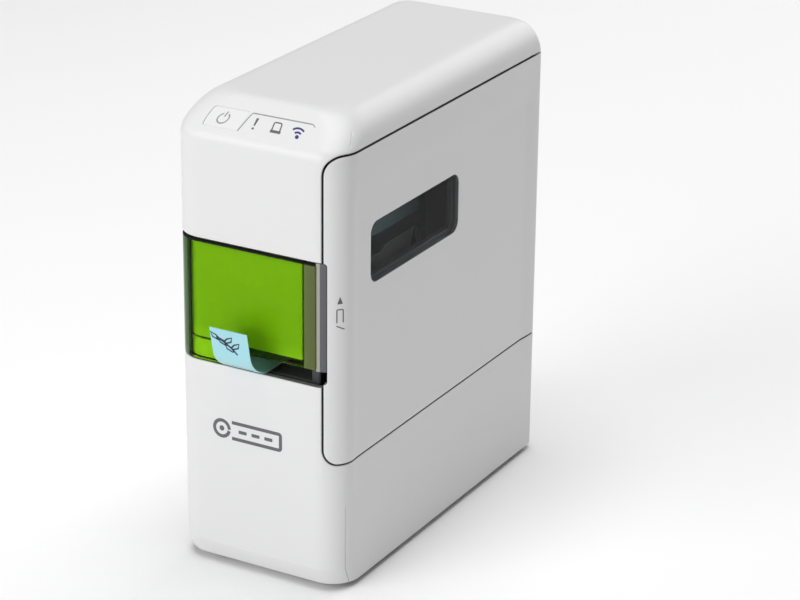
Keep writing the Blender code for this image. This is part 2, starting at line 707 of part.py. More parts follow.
def make_base_screws():
    for name, x in zip(("base_screw_left", "base_screw_right"), SCREW_X):
        low, tip = BODY_BOTTOM, BASE_TOP + 8
        head_top = low + 0.7
        head = SCREW_HEAD_RADIUS
        profile = [(0, low), (head, low), (head, head_top), (1.0, head_top), (1.0, tip), (0, tip)]
        obj = solid(name, turned("Z", (x, SCREW_Y), profile, 12), "steel")
        cut(obj, box((x - 1.1, SCREW_Y - 0.2, 0), (x + 1.1, SCREW_Y + 0.2, BODY_BOTTOM + 0.4)))


def make_battery_holder():
    outer = HOLDER_SIDE + HOLDER_WALL
    low_z = BASE_TOP + GAP
    tray = box((-outer, HOLDER_FRONT_Y, low_z), (outer, HOLDER_BACK_Y, HOLDER_TOP))
    obj = solid("battery_holder", tray, "grey_plastic")
    inner = (HOLDER_SIDE, HOLDER_BACK_Y - HOLDER_WALL, HOLDER_TOP - 1.5)
    cut(obj, box((-inner[0], HOLDER_FRONT_Y + HOLDER_WALL, -PAST), inner))


def make_cells():
    """Six cells in three columns of two, with the middle column the other way round."""
    button, button_height, shoulder = 2.6, 1.2, 0.5
    for column in (-1, 0, 1):
        for row in (0, 1):
            start = CELL_FRONT_Y + row * (CELL_LENGTH + GAP)
            end = start + CELL_LENGTH
            if column == 0:
                start, end = end, start
            way = 1 if end > start else -1
            top = end - way * button_height
            profile = [(0, start), (CELL_RADIUS, start), (CELL_RADIUS, top - way * shoulder)]
            profile += [(CELL_RADIUS - shoulder, top), (button, top), (button, end), (0, end)]
            name = f"cell_{column + 2}_{'front' if row == 0 else 'back'}"
            solid(name, turned("Y", (column * CELL_PITCH, CELL_Z), profile, 20), "cell_wrap")


def make_cell_contacts():
    """A plate with three raised springs in front, and a plain plate behind."""
    def plate(y):
        reach = 5.5
        half = CELL_PITCH + reach
        return box((-half, y, CELL_Z - reach), (half, y + 0.5, CELL_Z + reach))

    front_y = HOLDER_FRONT_Y + HOLDER_WALL + 0.1
    spring_end = CELL_FRONT_Y - GAP
    obj = solid("battery_spring_contact", plate(front_y), "steel")
    for column in (-1, 0, 1):
        profile = [(0, front_y + 0.2), (4.0, front_y + 0.2), (2.0, spring_end), (0, spring_end)]
        add(obj, turned("Y", (column * CELL_PITCH, CELL_Z), profile, 12))
    solid("battery_plate_contact", plate(CELL_FRONT_Y + 2 * CELL_LENGTH + 2 * GAP), "steel")


# The electronics


def make_main_board():
    """The main board above the cells, with its tallest parts."""
    top = 23.4
    obj = solid("main_board", box((-17, FRONT + 10, 22), (22, BACK - 17, top)), "board_green")
    parts = [((2, -30), (14, -18), 2.0), ((-10, -24), (-2, -16), 1.4)]
    parts += [((12, 20), (19, 34), 4.0), ((-12, 22), (-5, 29), 1.6)]
    for low, high, height in parts:
        add(obj, box((*low, top - 0.4), (*high, top + height)))
    for x in (-13, -8):
        add(obj, cylinder("Z", (x, 38), 2.2, top - 0.4, top + 2.2, 12))


def make_dc_jack():
    x, z = JACK_AT
    front = BACK - 14
    face = BACK - 0.8
    block = box((x - 5.5, front, z - 5.0), (x + 5.5, BACK - WALL - GAP, z + 5.0), 0.3)
    obj = solid("dc_jack", block, "dark_plastic")
    add(obj, cylinder("Y", JACK_AT, 3.6, BACK - WALL - 2, face, 16))
    cut(obj, cylinder("Y", JACK_AT, 2.9, front + 2, BACK + PAST, 16))
    add(obj, cylinder("Y", JACK_AT, 0.7, front + 1, face - 0.8, 10))


# The chassis and the feed train


def make_chassis():
    """A tray on its side, open to the right, whose left wall carries the gears."""
    x_low, x_high = CHASSIS_X
    y_low, y_high = CHASSIS_Y
    wall = box((x_low, y_low, CHASSIS_FOOT), (BAY_LEFT_X, y_high, CHASSIS_TOP))
    obj = solid("chassis", wall, "dark_plastic")
    inside = x_low + 0.5
    add(obj, box((inside, y_low, CHASSIS_FLOOR), (x_high, y_high, CHASSIS_FLOOR + CHASSIS_WALL)))
    add(obj, box((inside, y_low, CHASSIS_TOP - CHASSIS_WALL), (x_high, y_high, CHASSIS_TOP)))
    ends = ((y_low, y_low + CHASSIS_WALL, x_high - 3), (y_high - CHASSIS_WALL, y_high, x_high))
    for y_from, y_to, x_to in ends:
        add(obj, box((inside, y_from, CHASSIS_FLOOR + 0.5), (x_to, y_to, CHASSIS_TOP - 0.5)))
    cut(obj, box((-16.5, y_low - PAST, 53), (10, y_low + PAST, TAPE_Z + 8)))
    bridge_x = grown((TAPE_CENTRE_X, TAPE_CENTRE_X), 3.2)
    low, high = (bridge_x[0], y_low + 0.8, SPRING_TOP), (bridge_x[1], FRONT + 32.3, SPRING_TOP + 1.5)
    add(obj, box(low, high))
    hole = AXLE_RADIUS + AXLE_CLEARANCE
    for place in (PLATEN_AT, IDLER_AT, REDUCTION_AT):
        cut(obj, cylinder("X", place, hole, x_low - PAST, BAY_LEFT_X + 3, 14))
    cut(obj, cylinder("X", RIBBON_AT, SPINDLE_RADIUS + AXLE_CLEARANCE, x_low - PAST, BAY_LEFT_X + 3, 14))
    cut(obj, cylinder("X", PINION_AT, 1.3, x_low - PAST, BAY_LEFT_X + 3, 12))
    cut(obj, cylinder("X", HEAD_PIVOT, HEAD_SHAFT_RADIUS + AXLE_CLEARANCE, x_low - PAST, BAY_LEFT_X + 3, 12))


def gear_solid(name, teeth, place, x_range, phase, axle, material_name="white_gear_plastic"):
    """A gear about a line along X, with a round axle of (radius, lowest x, highest x)."""
    outline = involute_gear_outline(teeth, GEAR_MODULE, place, phase)
    obj = solid(name, prism(outline, "X", *x_range), material_name, (0, *place))
    radius, low, high = axle
    add(obj, cylinder("X", place, radius, low, high, 14))
    return obj


def make_feed_train():
    """The gears lie in two planes: the large wheel of the reduction gear meets the motor in the outer one."""
    axle_end = BAY_LEFT_X + 0.4
    idler_phase = meshing_phase(0.0, PLATEN_TEETH, TO_IDLER, IDLER_TEETH)
    ribbon_phase = meshing_phase(idler_phase, IDLER_TEETH, TO_RIBBON, RIBBON_TEETH)
    small_phase = meshing_phase(idler_phase, IDLER_TEETH, TO_REDUCTION, REDUCTION_SMALL_TEETH)
    pinion_phase = meshing_phase(small_phase, REDUCTION_LARGE_TEETH, TO_PINION, PINION_TEETH)
    inner, outer = INNER_GEARS_X, OUTER_GEARS_X

    axle = (AXLE_RADIUS, inner[0], axle_end)
    gear_solid("idler_gear", IDLER_TEETH, IDLER_AT, inner, idler_phase, axle)
    axle = (AXLE_RADIUS, outer[0], axle_end)
    small_x = (outer[1] - 0.2, inner[1])
    reduction = gear_solid("reduction_gear", REDUCTION_SMALL_TEETH, REDUCTION_AT, small_x, small_phase, axle)
    large = involute_gear_outline(REDUCTION_LARGE_TEETH, GEAR_MODULE, REDUCTION_AT, small_phase)
    add(reduction, prism(large, "X", *outer))
    axle = (1.0, outer[0] + 0.4, BAY_LEFT_X + 0.2)
    gear_solid("motor_pinion", PINION_TEETH, PINION_AT, outer, pinion_phase, axle, "brass")
    axle = (SPINDLE_RADIUS, inner[0] + 0.4, TAPE_HIGH_X)
    gear_solid("ribbon_gear", RIBBON_TEETH, RIBBON_AT, inner, ribbon_phase, axle)


def make_platen():
    """The rubber roller that pulls the tape, on a shaft with its gear."""
    core = 2.0
    bore = core + GAP
    low, high = grown((TAPE_LOW_X, TAPE_HIGH_X), 1.5)
    profile = [(bore, low), (PLATEN_RADIUS, low), (PLATEN_RADIUS, high), (bore, high)]
    solid("platen_roller", turned("X", PLATEN_AT, profile, 24), "rubber", (0, *PLATEN_AT))
    axle = (AXLE_RADIUS, INNER_GEARS_X[0] + 0.4, low - 1.5)
    shaft = gear_solid("platen_shaft_gear", PLATEN_TEETH, PLATEN_AT, INNER_GEARS_X, 0.0, axle, "steel")
    add(shaft, cylinder("X", PLATEN_AT, core, low - 2.5, high + 2.0, 16))


def motor_profile(bore, radius, low, high, edge):
    """A motor can's profile: a tube with bevelled ends."""
    shoulder = radius - edge
    front = [(bore, low), (shoulder, low), (radius, low + edge)]
    return front + [(radius, high - edge), (shoulder, high), (bore, high)]


def make_feed_motor():
    low = BAY_LEFT_X + 0.5
    solid("feed_motor", turned("X", PINION_AT, motor_profile(1.3, 9.0, low, low + 21, 0.7), 24), "steel")


# The cassette


def cassette_half(name, x_low, x_high, closed_low):
    """One half of the cassette's case: a rounded tray with a closed face and openings for the spindles."""
    outer = rounded_rectangle((CASSETTE_Y[0], CASSETTE_Z[0]), (CASSETTE_Y[1], CASSETTE_Z[1]), 5.0)
    wall = CASSETTE_WALL
    low, high = (CASSETTE_Y[0] + wall, CASSETTE_Z[0] + wall), (CASSETTE_Y[1] - wall, CASSETTE_Z[1] - wall)
    inner = rounded_rectangle(low, high, 5.0 - wall)
    obj = solid(name, prism(outer, "X", x_low, x_high), "grey_plastic")
    hollow = (x_low + wall, x_high + PAST) if closed_low else (x_low - PAST, x_high - wall)
    cut(obj, prism(inner, "X", *hollow))
    post = (x_low + 0.5, x_high - 2) if closed_low else (x_low + 2, x_high - 0.5)
    for place, radius in ((ROLL_AT, 4.4), (SUPPLY_AT, 1.8)):
        add(obj, cylinder("X", place, radius, *post, 14))
    if closed_low:
        cut(obj, cylinder("X", RIBBON_AT, SPINDLE_RADIUS + 0.8, x_low - PAST, x_high, 14))
    mouth_low = (TAPE_LOW_X - 1, CASSETTE_Y[0] - PAST, TAPE_Z - 1)
    cut(obj, box(mouth_low, (TAPE_HIGH_X + 1, CASSETTE_Y[0] + 3, TAPE_Z + 1.5)))


def make_cassette():
    split = (CASSETTE_X[0] + CASSETTE_X[1]) / 2
    cassette_half("cassette_left_case", CASSETTE_X[0], split - GAP / 2, True)
    cassette_half("cassette_right_case", split + GAP / 2, CASSETTE_X[1], False)
    low = (CASSETTE_Y[0] + 6, CASSETTE_Z[0] + 30)
    high = (CASSETTE_Y[0] + 40, CASSETTE_Z[1] - 8)
    label_x = CASSETTE_X[1] + GAP
    sticker = prism(rounded_rectangle(low, high, 2.0), "X", label_x, label_x + 0.3)
    solid("cassette_label", sticker, "teal_print")


def make_spools():
    """The roll of label tape and the two ribbon spools, about lines along X."""
    low, high = TAPE_LOW_X, TAPE_HIGH_X
    roll = [(5.0, low), (ROLL_RADIUS, low), (ROLL_RADIUS, high), (5.0, high)]
    solid("tape_roll", turned("X", ROLL_AT, roll, 32), "label_film", (0, *ROLL_AT))
    flange = SPOOL_RADIUS + 1.0
    rim = 0.8
    take_up_bore = SPINDLE_RADIUS + GAP
    spools = (("ribbon_supply_spool", SUPPLY_AT, 2.3), ("ribbon_take_up_spool", RIBBON_AT, take_up_bore))
    for name, place, bore in spools:
        profile = [(bore, low - rim), (flange, low - rim), (flange, low), (SPOOL_RADIUS, low)]
        profile += [(SPOOL_RADIUS, high), (flange, high), (flange, high + rim), (bore, high + rim)]
        solid(name, turned("X", place, profile, 20), "dark_plastic", (0, *place))


def strip(name, path, material_name):
    """A flat tape of constant thickness that follows a path of (y, z) along its underside."""
    points = [Vector(p) for p in path]
    upper = []
    for i, point in enumerate(points):
        along = (points[min(i + 1, len(points) - 1)] - points[max(i - 1, 0)]).normalized()
        upper.append(point + Vector((along.y, -along.x)) * TAPE_THICKNESS)
    outline = [tuple(p) for p in points] + [tuple(p) for p in reversed(upper)]
    solid(name, prism(outline, "X", TAPE_LOW_X, TAPE_HIGH_X), material_name)


def make_tapes():
    """The tape from the cassette to the blades, and the label just cut off, which curls up in front."""
    leader_z = TAPE_Z + TAPE_THICKNESS
    strip("tape_leader", [(FIXED_BLADE_Y[1] + 0.2, leader_z), (CASSETTE_Y[0] + 4, leader_z)], "label_film")
    corners = [(BLADE_Y[0] - GAP, TAPE_Z), (FRONT + 0.5, TAPE_Z, 6.0)]
    corners += [(FRONT - 5.6, TAPE_Z + 1.8, 9.0), (FRONT - LABEL_REACH, TAPE_Z + 14.7)]
    strip("label_tape", fillet_path(corners, 5), "label_film")


# The thermal head


def make_head():
    front, back = FRONT + 28.0, FRONT + 36.8
    foot = TAPE_Z + 2.8
    make_print_head(front, foot)
    make_head_carrier(front, back, foot)
    make_head_heatsink(back - 1.5 - GAP)
    shaft_x = (CHASSIS_X[0] + 0.2, HEAD_X[1] + 3)
    solid("head_pivot_shaft", cylinder("X", HEAD_PIVOT, HEAD_SHAFT_RADIUS, *shaft_x, 16), "steel")
    spring = coil((TAPE_CENTRE_X, front + 2.0), foot + 1.5 + GAP, SPRING_TOP - GAP, 1.5, 0.3, 5)
    solid("head_spring", spring, "steel")


def make_print_head(front, foot):
    low = (HEAD_X[0] + 0.5, front + 0.5, TAPE_Z + 0.5)
    high = (HEAD_X[1] - 0.5, front + 6.5, foot - GAP)
    solid("print_head", box(low, high, 0.2), "ceramic", (0, *HEAD_PIVOT))


def make_head_carrier(front, back, foot):
    """An L-shaped arm that hangs from the pivot shaft and presses the head down."""
    arm = box((HEAD_X[0], front, foot), (HEAD_X[1], back, foot + 1.5))
    obj = solid("head_carrier", arm, "grey_plastic", (0, *HEAD_PIVOT))
    add(obj, box((HEAD_X[0], back - 1.5, foot + 0.5), (HEAD_X[1], back, HEAD_PIVOT[1])))
    add(obj, cylinder("X", HEAD_PIVOT, 2.2, *HEAD_X, 16))
    cut(obj, cylinder("X", HEAD_PIVOT, HEAD_SHAFT_RADIUS + AXLE_CLEARANCE, *grown(HEAD_X, PAST), 14))


def make_head_heatsink(rear):
    """A plate on the arm, with three fins to the front."""
    low_x, high_x = grown(HEAD_X, -1.0)
    plate = box((low_x, rear - 1, TAPE_Z + 6), (high_x, rear, TAPE_Z + 15))
    obj = solid("head_heatsink", plate, "aluminium", (0, *HEAD_PIVOT))
    for i in range(3):
        fin_z = TAPE_Z + 6.4 + 3.4 * i
        add(obj, box((low_x + 0.5, rear - 1.7, fin_z), (high_x - 0.5, rear - 0.4, fin_z + 1.2)))


# The cutter


def make_cutter_frame():
    y_low, y_high = CUTTER_FRAME_Y
    px, pz = BLADE_PIVOT
    cx, cz = CRANK_AT
    obj = solid("cutter_frame", box((-16, y_low, cz - 8), (17.4, y_high, TAPE_Z + 10)), "steel")
    cut(obj, box((HEAD_X[0], y_low - PAST, TAPE_Z - 2), (HEAD_X[1], y_high + PAST, TAPE_Z + 4)))
    reach = CRANK_THROW + CRANK_PIN_RADIUS + 0.7
    cut(obj, box((cx - 1.7, y_low - PAST, cz + 1.7), (cx + reach, y_high + PAST, cz + reach)))
    cut(obj, box((cx + 1.7, y_low - PAST, cz - 1.8), (cx + reach, y_high + PAST, cz + reach)))
    add(obj, cylinder("Y", (px, pz), 1.4, BLADE_Y[0] - 0.8, y_high - 0.4, 14))
    add(obj, cylinder("Y", (cx, cz), 1.1, y_high - 0.4, CRANK_GEAR_Y[1] + 0.3, 12))


def make_blades():
    y_low, y_high = FIXED_BLADE_Y
    fixed = box((TAPE_LOW_X - 3, y_low, TAPE_Z - 12), (TAPE_HIGH_X + 3.5, y_high, TAPE_Z - 0.2))
    solid("fixed_blade", fixed, "steel")
    px, pz = BLADE_PIVOT
    edge = math.radians(162)
    near, far = 4.0, 23.0
    outline = [(near * math.cos(edge), near * math.sin(edge)), (far * math.cos(edge), far * math.sin(edge))]
    outline += [(-22.0, 10.0), (-2.5, 6.0), (3.0, 4.0), (4.2, 0.0), (4.2, -22.0), (-4.2, -22.0), (-4.2, -3.0)]
    outline = [(px + x, pz + z) for x, z in outline]
    obj = solid("moving_blade", prism(outline, "Y", *BLADE_Y), "steel", (px, BLADE_Y[0], pz))
    cut(obj, cylinder("Y", (px, pz), 1.7, BLADE_Y[0] - PAST, BLADE_Y[1] + PAST, 14))
    slot_half = CRANK_PIN_RADIUS + 1.2
    slot = rounded_rectangle((px - slot_half, pz - 20.2), (px + slot_half, pz - 12.2), 1.5)
    cut(obj, prism(slot, "Y", BLADE_Y[0] - PAST, BLADE_Y[1] + PAST))


def make_cutter_drive():
    """The crank gear that swings the blade, its pinion and its motor, about lines along Y."""
    cx, cz = CRANK_AT
    y_low, y_high = CRANK_GEAR_Y
    crank = involute_gear_outline(CRANK_TEETH, CUTTER_MODULE, CRANK_AT, 0.0, 0.10)
    wheel = prism(crank, "Y", y_low, y_high)
    obj = solid("cutter_crank_gear", wheel, "white_gear_plastic", (cx, y_low, cz))
    add(obj, cylinder("Y", (cx, cz + CRANK_THROW), CRANK_PIN_RADIUS, BLADE_Y[0] - 0.6, y_low + 0.5, 12))
    cut(obj, cylinder("Y", CRANK_AT, 1.4, y_low - PAST, y_high + PAST, 12))
    phase = meshing_phase(0.0, CRANK_TEETH, TO_CUTTER_PINION, CUTTER_PINION_TEETH)
    pinion = involute_gear_outline(CUTTER_PINION_TEETH, CUTTER_MODULE, CUTTER_PINION_AT, phase, 0.10)
    px, pz = CUTTER_PINION_AT
    obj = solid("cutter_pinion", prism(pinion, "Y", y_low, y_high), "brass", (px, y_low, pz))
    add(obj, cylinder("Y", CUTTER_PINION_AT, 0.8, y_low + 0.4, y_high + 2.5, 10))
    profile = motor_profile(1.2, 6.0, y_high + 0.6, y_high + 20, 0.6)
    solid("cutter_motor", turned("Y", CUTTER_PINION_AT, profile, 20), "steel")


def main():
    clear_scene()
    bpy.context.scene.unit_settings.scale_length = 1.0
    make_main_housing()
    make_cover()
    make_cover_window()
    make_cover_inner_frame()
    make_cover_latch()
    make_hinge_pins()
    make_front_window()
    make_window_backing()
    make_exit_guide()
    make_corner_pillar()
    make_power_key()
    make_light_guide()
    make_key_board()
    make_base_plate()
    make_battery_cover()
    make_feet()
    make_base_screws()
    make_battery_holder()
    make_cells()
    make_cell_contacts()
    make_main_board()
    make_dc_jack()
    make_chassis()
    make_feed_train()
    make_platen()
    make_feed_motor()
    make_cassette()
    make_spools()
    make_tapes()
    make_head()
    make_cutter_frame()
    make_blades()
    make_cutter_drive()


main()
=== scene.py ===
import json
import math

import bmesh
import bpy
import numpy as np
from mathutils import Matrix, Vector


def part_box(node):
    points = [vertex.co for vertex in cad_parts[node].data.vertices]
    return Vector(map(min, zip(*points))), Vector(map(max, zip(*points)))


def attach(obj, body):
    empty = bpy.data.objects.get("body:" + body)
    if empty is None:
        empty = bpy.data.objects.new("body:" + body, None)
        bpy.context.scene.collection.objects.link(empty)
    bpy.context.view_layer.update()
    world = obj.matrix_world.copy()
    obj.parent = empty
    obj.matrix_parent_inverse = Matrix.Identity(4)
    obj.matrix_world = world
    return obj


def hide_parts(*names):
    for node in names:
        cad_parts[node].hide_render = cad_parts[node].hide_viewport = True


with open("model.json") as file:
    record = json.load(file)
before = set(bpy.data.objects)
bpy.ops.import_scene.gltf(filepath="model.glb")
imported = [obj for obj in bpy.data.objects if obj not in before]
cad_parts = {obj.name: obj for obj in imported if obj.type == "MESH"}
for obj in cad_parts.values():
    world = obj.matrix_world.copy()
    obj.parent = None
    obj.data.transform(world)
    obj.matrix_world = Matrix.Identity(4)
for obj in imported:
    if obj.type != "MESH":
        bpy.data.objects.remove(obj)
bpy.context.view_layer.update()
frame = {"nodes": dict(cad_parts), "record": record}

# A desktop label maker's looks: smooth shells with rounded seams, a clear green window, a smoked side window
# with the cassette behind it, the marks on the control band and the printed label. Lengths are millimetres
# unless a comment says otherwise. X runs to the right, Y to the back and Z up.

MM = 0.001


def node_box(name):
    """A CAD node's lowest and highest corners in millimetres."""
    return tuple(tuple(value / MM for value in corner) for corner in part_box(name))


# The CAD nodes whose places and sizes the shells take
HOUSING = node_box("main_housing")
COVER = node_box("tape_cover")
WINDOW = node_box("cover_window")
GREEN = node_box("front_window")
PILLAR = node_box("corner_pillar")
KEY = node_box("power_key")
LABEL = node_box("label_tape")
BACKING = node_box("window_backing")
CASSETTE = node_box("cassette_right_case")
CASSETTE_LABEL = node_box("cassette_label")
JACK = node_box("dc_jack")

# The body's form. It is the CAD housing's, but for a steeper slope under the front.
SIDE = HOUSING[1][0]
FRONT = HOUSING[0][1]
BACK = HOUSING[1][1]
TOP = HOUSING[1][2]
BODY_BOTTOM = HOUSING[0][2]
WALL = 2.0
FRONT_CORNER = 8.5
BACK_CORNER = 3.0
TOP_EDGE = 10.0
CHAMFER_RUN = 2.4  # the front's lower edge slopes back by this much
CHAMFER_RISE = 5.6
BASE_EDGE = 1.0
BAND_RISE = 9.3
BAND_RUN = 11.0
BAND_LOWER_EDGE = 4.0
BAND_UPPER_EDGE = 5.0
BAND_ANGLE = math.atan2(BAND_RISE, BAND_RUN)
BAND_MIDDLE_Z = TOP - BAND_RISE / 2
SEAM = 0.6
EDGE = 0.3  # the rounding of the shells' edges
SKIN = 0.34  # below this depth the shells are painted dark: painted shade for the seams and openings
OVERREACH = 1.0  # how far a cutting shape reaches past the wall
SHELL_BOTTOM = BODY_BOTTOM + EDGE

# The openings in the front
EXIT_BOTTOM = GREEN[0][2] - 0.3
EXIT_TOP = GREEN[1][2] + 0.9
EXIT_BACK_Y = GREEN[1][1] + 0.3
GREEN_BOTTOM = 66.8
GREEN_RIGHT_X = GREEN[1][0]
TAB_RIGHT_X = -9.6
COVER_FRONT_X = 21.4
NOTCH_X = 22.3
NOTCH_BOTTOM = EXIT_BOTTOM + 1.0
HINGE_Y = BACK - BACK_CORNER
HINGE_X = SIDE - BACK_CORNER
BARREL_RADIUS = BACK_CORNER - 0.15
JACK_RADIUS = 3.9

# On the rounded front left corner, as angles from the front: where the painted shade on the clear panel
# starts (a darker tint for the dark inside behind the wrap), where the lime panel ends and where its lining
# starts
SHADE_ANGLE = math.radians(25)
PANEL_ANGLE = math.radians(42)
LINER_ANGLE = math.radians(58)
MARK_ANGLE = math.radians(50)  # where the cover's mark is, on the front right corner
OLIVE_X = 15.6  # right of here the clear panel is tinted a darker olive: painted shade and reflection over its lining

# The shallow recess in the right side: where its soft edges start and end
RECESS_DEPTH = 0.5
RECESS_LOW = (26.5, 32.5)
RECESS_HIGH = (112.5, 119.5)
RECESS_FRONT = (-2.0, 4.5)  # past the start of the front corner
RECESS_BACK = (0.5, 8.0)  # past the end of the back corner

# A fine parting line down the front right corner, above and below the cover
PARTING_DEPTH = 0.3
PARTING_WIDTH = 0.3
PARTING_ANGLE = math.radians(28)
PARTING_BELOW = (24.0, 27.0)  # it fades out here, some way below the cover
PARTING_STARTS = (129.0, 130.0)
PARTING_ENDS = (131.0, 133.5)
PARTING_ABOVE = 0.6  # the line's depth above the cover, as a share of its depth below

# The power key, along the slope of the band from its middle
KEY_BELOW = 4.1
KEY_ABOVE = 2.3
KEY_LEAN = 1.1  # its left edge leans by this much
KEY_RADIUS = 0.7
KEY_THICKNESS = 1.8

# The cassette cover's corners, and its pane's
COVER_LOWER_RADIUS = 4.2
COVER_UPPER_RADIUS = 5.2
PANE_RADIUS = 3.0

# The printed label, and prints
LABEL_HALF = 0.08  # half its thickness
LABEL_BEND = 7.0  # its radius where it leaves the slot
LABEL_CURL = 8.0  # its radius further out
PAPER = 0.1  # how thick a printed mark or a sticker is
PRINT_Y = -5.2  # where the print on the cassette's label starts, in Y

# The ledges above and below the cover's opening
LEDGE = 2.0
LEDGE_INNER_X = 18.0

# The windows' thickness, and the panels behind the green one
SMOKED_PANE = 1.0
GREEN_PANE = 1.6
BACKING_DEPTH = 2.0
BACKING_THICKNESS = 0.8

# How far apart a flat plate is cut, so that it can bend
BACK_CORNER_STEP = 0.6
FRONT_CORNER_STEP = 0.7
RECESS_STEP = 1.0
SLOPE_STEP = 0.8
SLOPE_EDGE = 0.4  # cuts are finer this near to the slope's top
SLOPE_EDGE_STEP = 0.16
BAND_STEP = 0.45
ALONG_STEP = 6.0
UP_STEP = 8.0
WALL_SPAN = (8.0, 124.0)  # the walls' plain heights

SHARP_ANGLE = math.radians(38)  # an edge that turns more than this looks sharp

# Smallest distances that count, for joining and cutting meshes
HAIR = 1e-5
WELD = 1e-4
LOOSE_WELD = 1e-3


# The body's surface: s runs round the body from the middle of the back, by way of the right side, the front
# and the left side. t is the height on the walls, and runs on over the rounded edges to the top.

ARC_TOP = TOP - TOP_EDGE
T_TOP = ARC_TOP + TOP_EDGE * math.pi / 2
QUARTER = math.pi / 2
LENGTHS = [
    SIDE - BACK_CORNER,  # the back's right half
    BACK_CORNER * QUARTER,
    BACK - FRONT - FRONT_CORNER - BACK_CORNER,  # the right side
    FRONT_CORNER * QUARTER,
    2 * (SIDE - FRONT_CORNER),  # the front
    FRONT_CORNER * QUARTER,
    BACK - FRONT - FRONT_CORNER - BACK_CORNER,  # the left side
    BACK_CORNER * QUARTER,
    SIDE - BACK_CORNER,  # the back's left half
]
STARTS = [0.0]
for length in LENGTHS:
    STARTS.append(STARTS[-1] + length)
PERIMETER = STARTS[-1]
PARTING_S = STARTS[3] + FRONT_CORNER * PARTING_ANGLE


def height_at(t):
    """The height Z of the surface at t: the top edge's arc length is what t measures past the walls."""
    if t > ARC_TOP:
        return ARC_TOP + TOP_EDGE * math.sin(min(t - ARC_TOP, TOP_EDGE * QUARTER) / TOP_EDGE)
    return t


def t_at(z):
    """The other way round: t at a height."""
    if z > ARC_TOP:
        return ARC_TOP + TOP_EDGE * math.asin((z - ARC_TOP) / TOP_EDGE)
    return z


def corner_arc(before, corner, after, segments):
    """Points of the arc that rounds a corner of (a, b, radius) between its two neighbours."""
    radius = corner[2]
    here = Vector(corner[:2])
    to_before = (Vector(before[:2]) - here).normalized()
    to_after = (Vector(after[:2]) - here).normalized()
    half = to_before.angle(to_after) / 2
    centre = here + (to_before + to_after).normalized() * (radius / math.sin(half))
    start = here + to_before * (radius / math.tan(half)) - centre
    end = here + to_after * (radius / math.tan(half)) - centre
    turn = start.angle_signed(end)
    return [centre + Matrix.Rotation(-turn * i / segments, 2) @ start for i in range(segments + 1)]


def fillet_path(corners, segments=16):
    """A line through corners of (a, b, radius), with each inner corner rounded by an arc."""
    points = [Vector(corners[0][:2])]
    for before, corner, after in zip(corners, corners[1:], corners[2:]):
        points += corner_arc(before, corner, after, segments)
    points.append(Vector(corners[-1][:2]))
    return [tuple(p) for p in points]


def side_profiles():
    """How far out the front, the side and the back lie at each height, as arrays of (distance, height)."""
    band_low = TOP - BAND_RISE
    front = [(FRONT + 8, BODY_BOTTOM), (FRONT + CHAMFER_RUN, BODY_BOTTOM, 0.6)]
    front += [(FRONT, BODY_BOTTOM + CHAMFER_RISE, 0.6), (FRONT, band_low, BAND_LOWER_EDGE)]
    front += [(FRONT + BAND_RUN, TOP, BAND_UPPER_EDGE), (FRONT + 40, TOP)]
    side = [(SIDE - 6, BODY_BOTTOM), (SIDE, BODY_BOTTOM, BASE_EDGE), (SIDE, TOP, TOP_EDGE), (0, TOP)]
    back = [(BACK - 6, BODY_BOTTOM), (BACK, BODY_BOTTOM, BASE_EDGE), (BACK, TOP, BACK_CORNER), (0, TOP)]
    return [np.array(fillet_path(corners, 48)[1:-1]) for corners in (front, side, back)]


PROFILES = side_profiles()


def plan_point(s, t):
    """The point (x, y) of the body's outline at height t, s of the way round."""
    z = height_at(t)
    y_front, half, y_back = (np.interp(z, profile[:, 1], profile[:, 0]) for profile in PROFILES)
    s = min(max(s, 0.0), PERIMETER - 1e-9)
    index = next(i for i in range(len(LENGTHS)) if s < STARTS[i + 1])
    share = (s - STARTS[index]) / LENGTHS[index]
    back_x, back_y = half - BACK_CORNER, y_back - BACK_CORNER
    front_x, front_y = half - FRONT_CORNER, y_front + FRONT_CORNER
    lines = {
        0: ((0, y_back), (back_x, y_back)),
        2: ((half, back_y), (half, front_y)),
        4: ((front_x, y_front), (-front_x, y_front)),
        6: ((-half, front_y), (-half, back_y)),
        8: ((-back_x, y_back), (0, y_back)),
    }
    if index in lines:
        (x0, y0), (x1, y1) = lines[index]
        return x0 + (x1 - x0) * share, y0 + (y1 - y0) * share
    centre_x, centre_y, radius, first = {
        1: (back_x, back_y, BACK_CORNER, QUARTER),
        3: (front_x, front_y, FRONT_CORNER, 0.0),
        5: (-front_x, front_y, FRONT_CORNER, -QUARTER),
        7: (-back_x, back_y, BACK_CORNER, -2 * QUARTER),
    }[index]
    angle = first - QUARTER * share
    return centre_x + radius * math.cos(angle), centre_y + radius * math.sin(angle)


def ramp(value, start, end):
    """A smooth step from 0 at the start to 1 at the end."""
    share = min(max((value - start) / (end - start), 0.0), 1.0)
    return share * share * (3 - 2 * share)


def recess(s, t):
    """How far the right side's shallow recess and the parting line lie below the body's form."""
    if not STARTS[1] < s < STARTS[4]:
        return 0.0
    before_front = 1 - ramp(s, STARTS[3] + RECESS_FRONT[0], STARTS[3] + RECESS_FRONT[1])
    after_back = ramp(s, STARTS[2] + RECESS_BACK[0], STARTS[2] + RECESS_BACK[1])
    depth = RECESS_DEPTH * before_front * after_back * ramp(t, *RECESS_LOW) * (1 - ramp(t, *RECESS_HIGH))
    beside = abs(s - PARTING_S) / (PARTING_WIDTH / 2)
    below_cover = 1 - ramp(t, *PARTING_BELOW)
    above_cover = PARTING_ABOVE * ramp(t, *PARTING_STARTS) * (1 - ramp(t, *PARTING_ENDS))
    return depth + PARTING_DEPTH * max(1 - beside, 0.0) * (below_cover + above_cover)


def surface_point(s, t):
    """The point of the body's form at (s, t), before the recess is taken off."""
    x, y = plan_point(s, t)
    return Vector((x, y, height_at(t)))


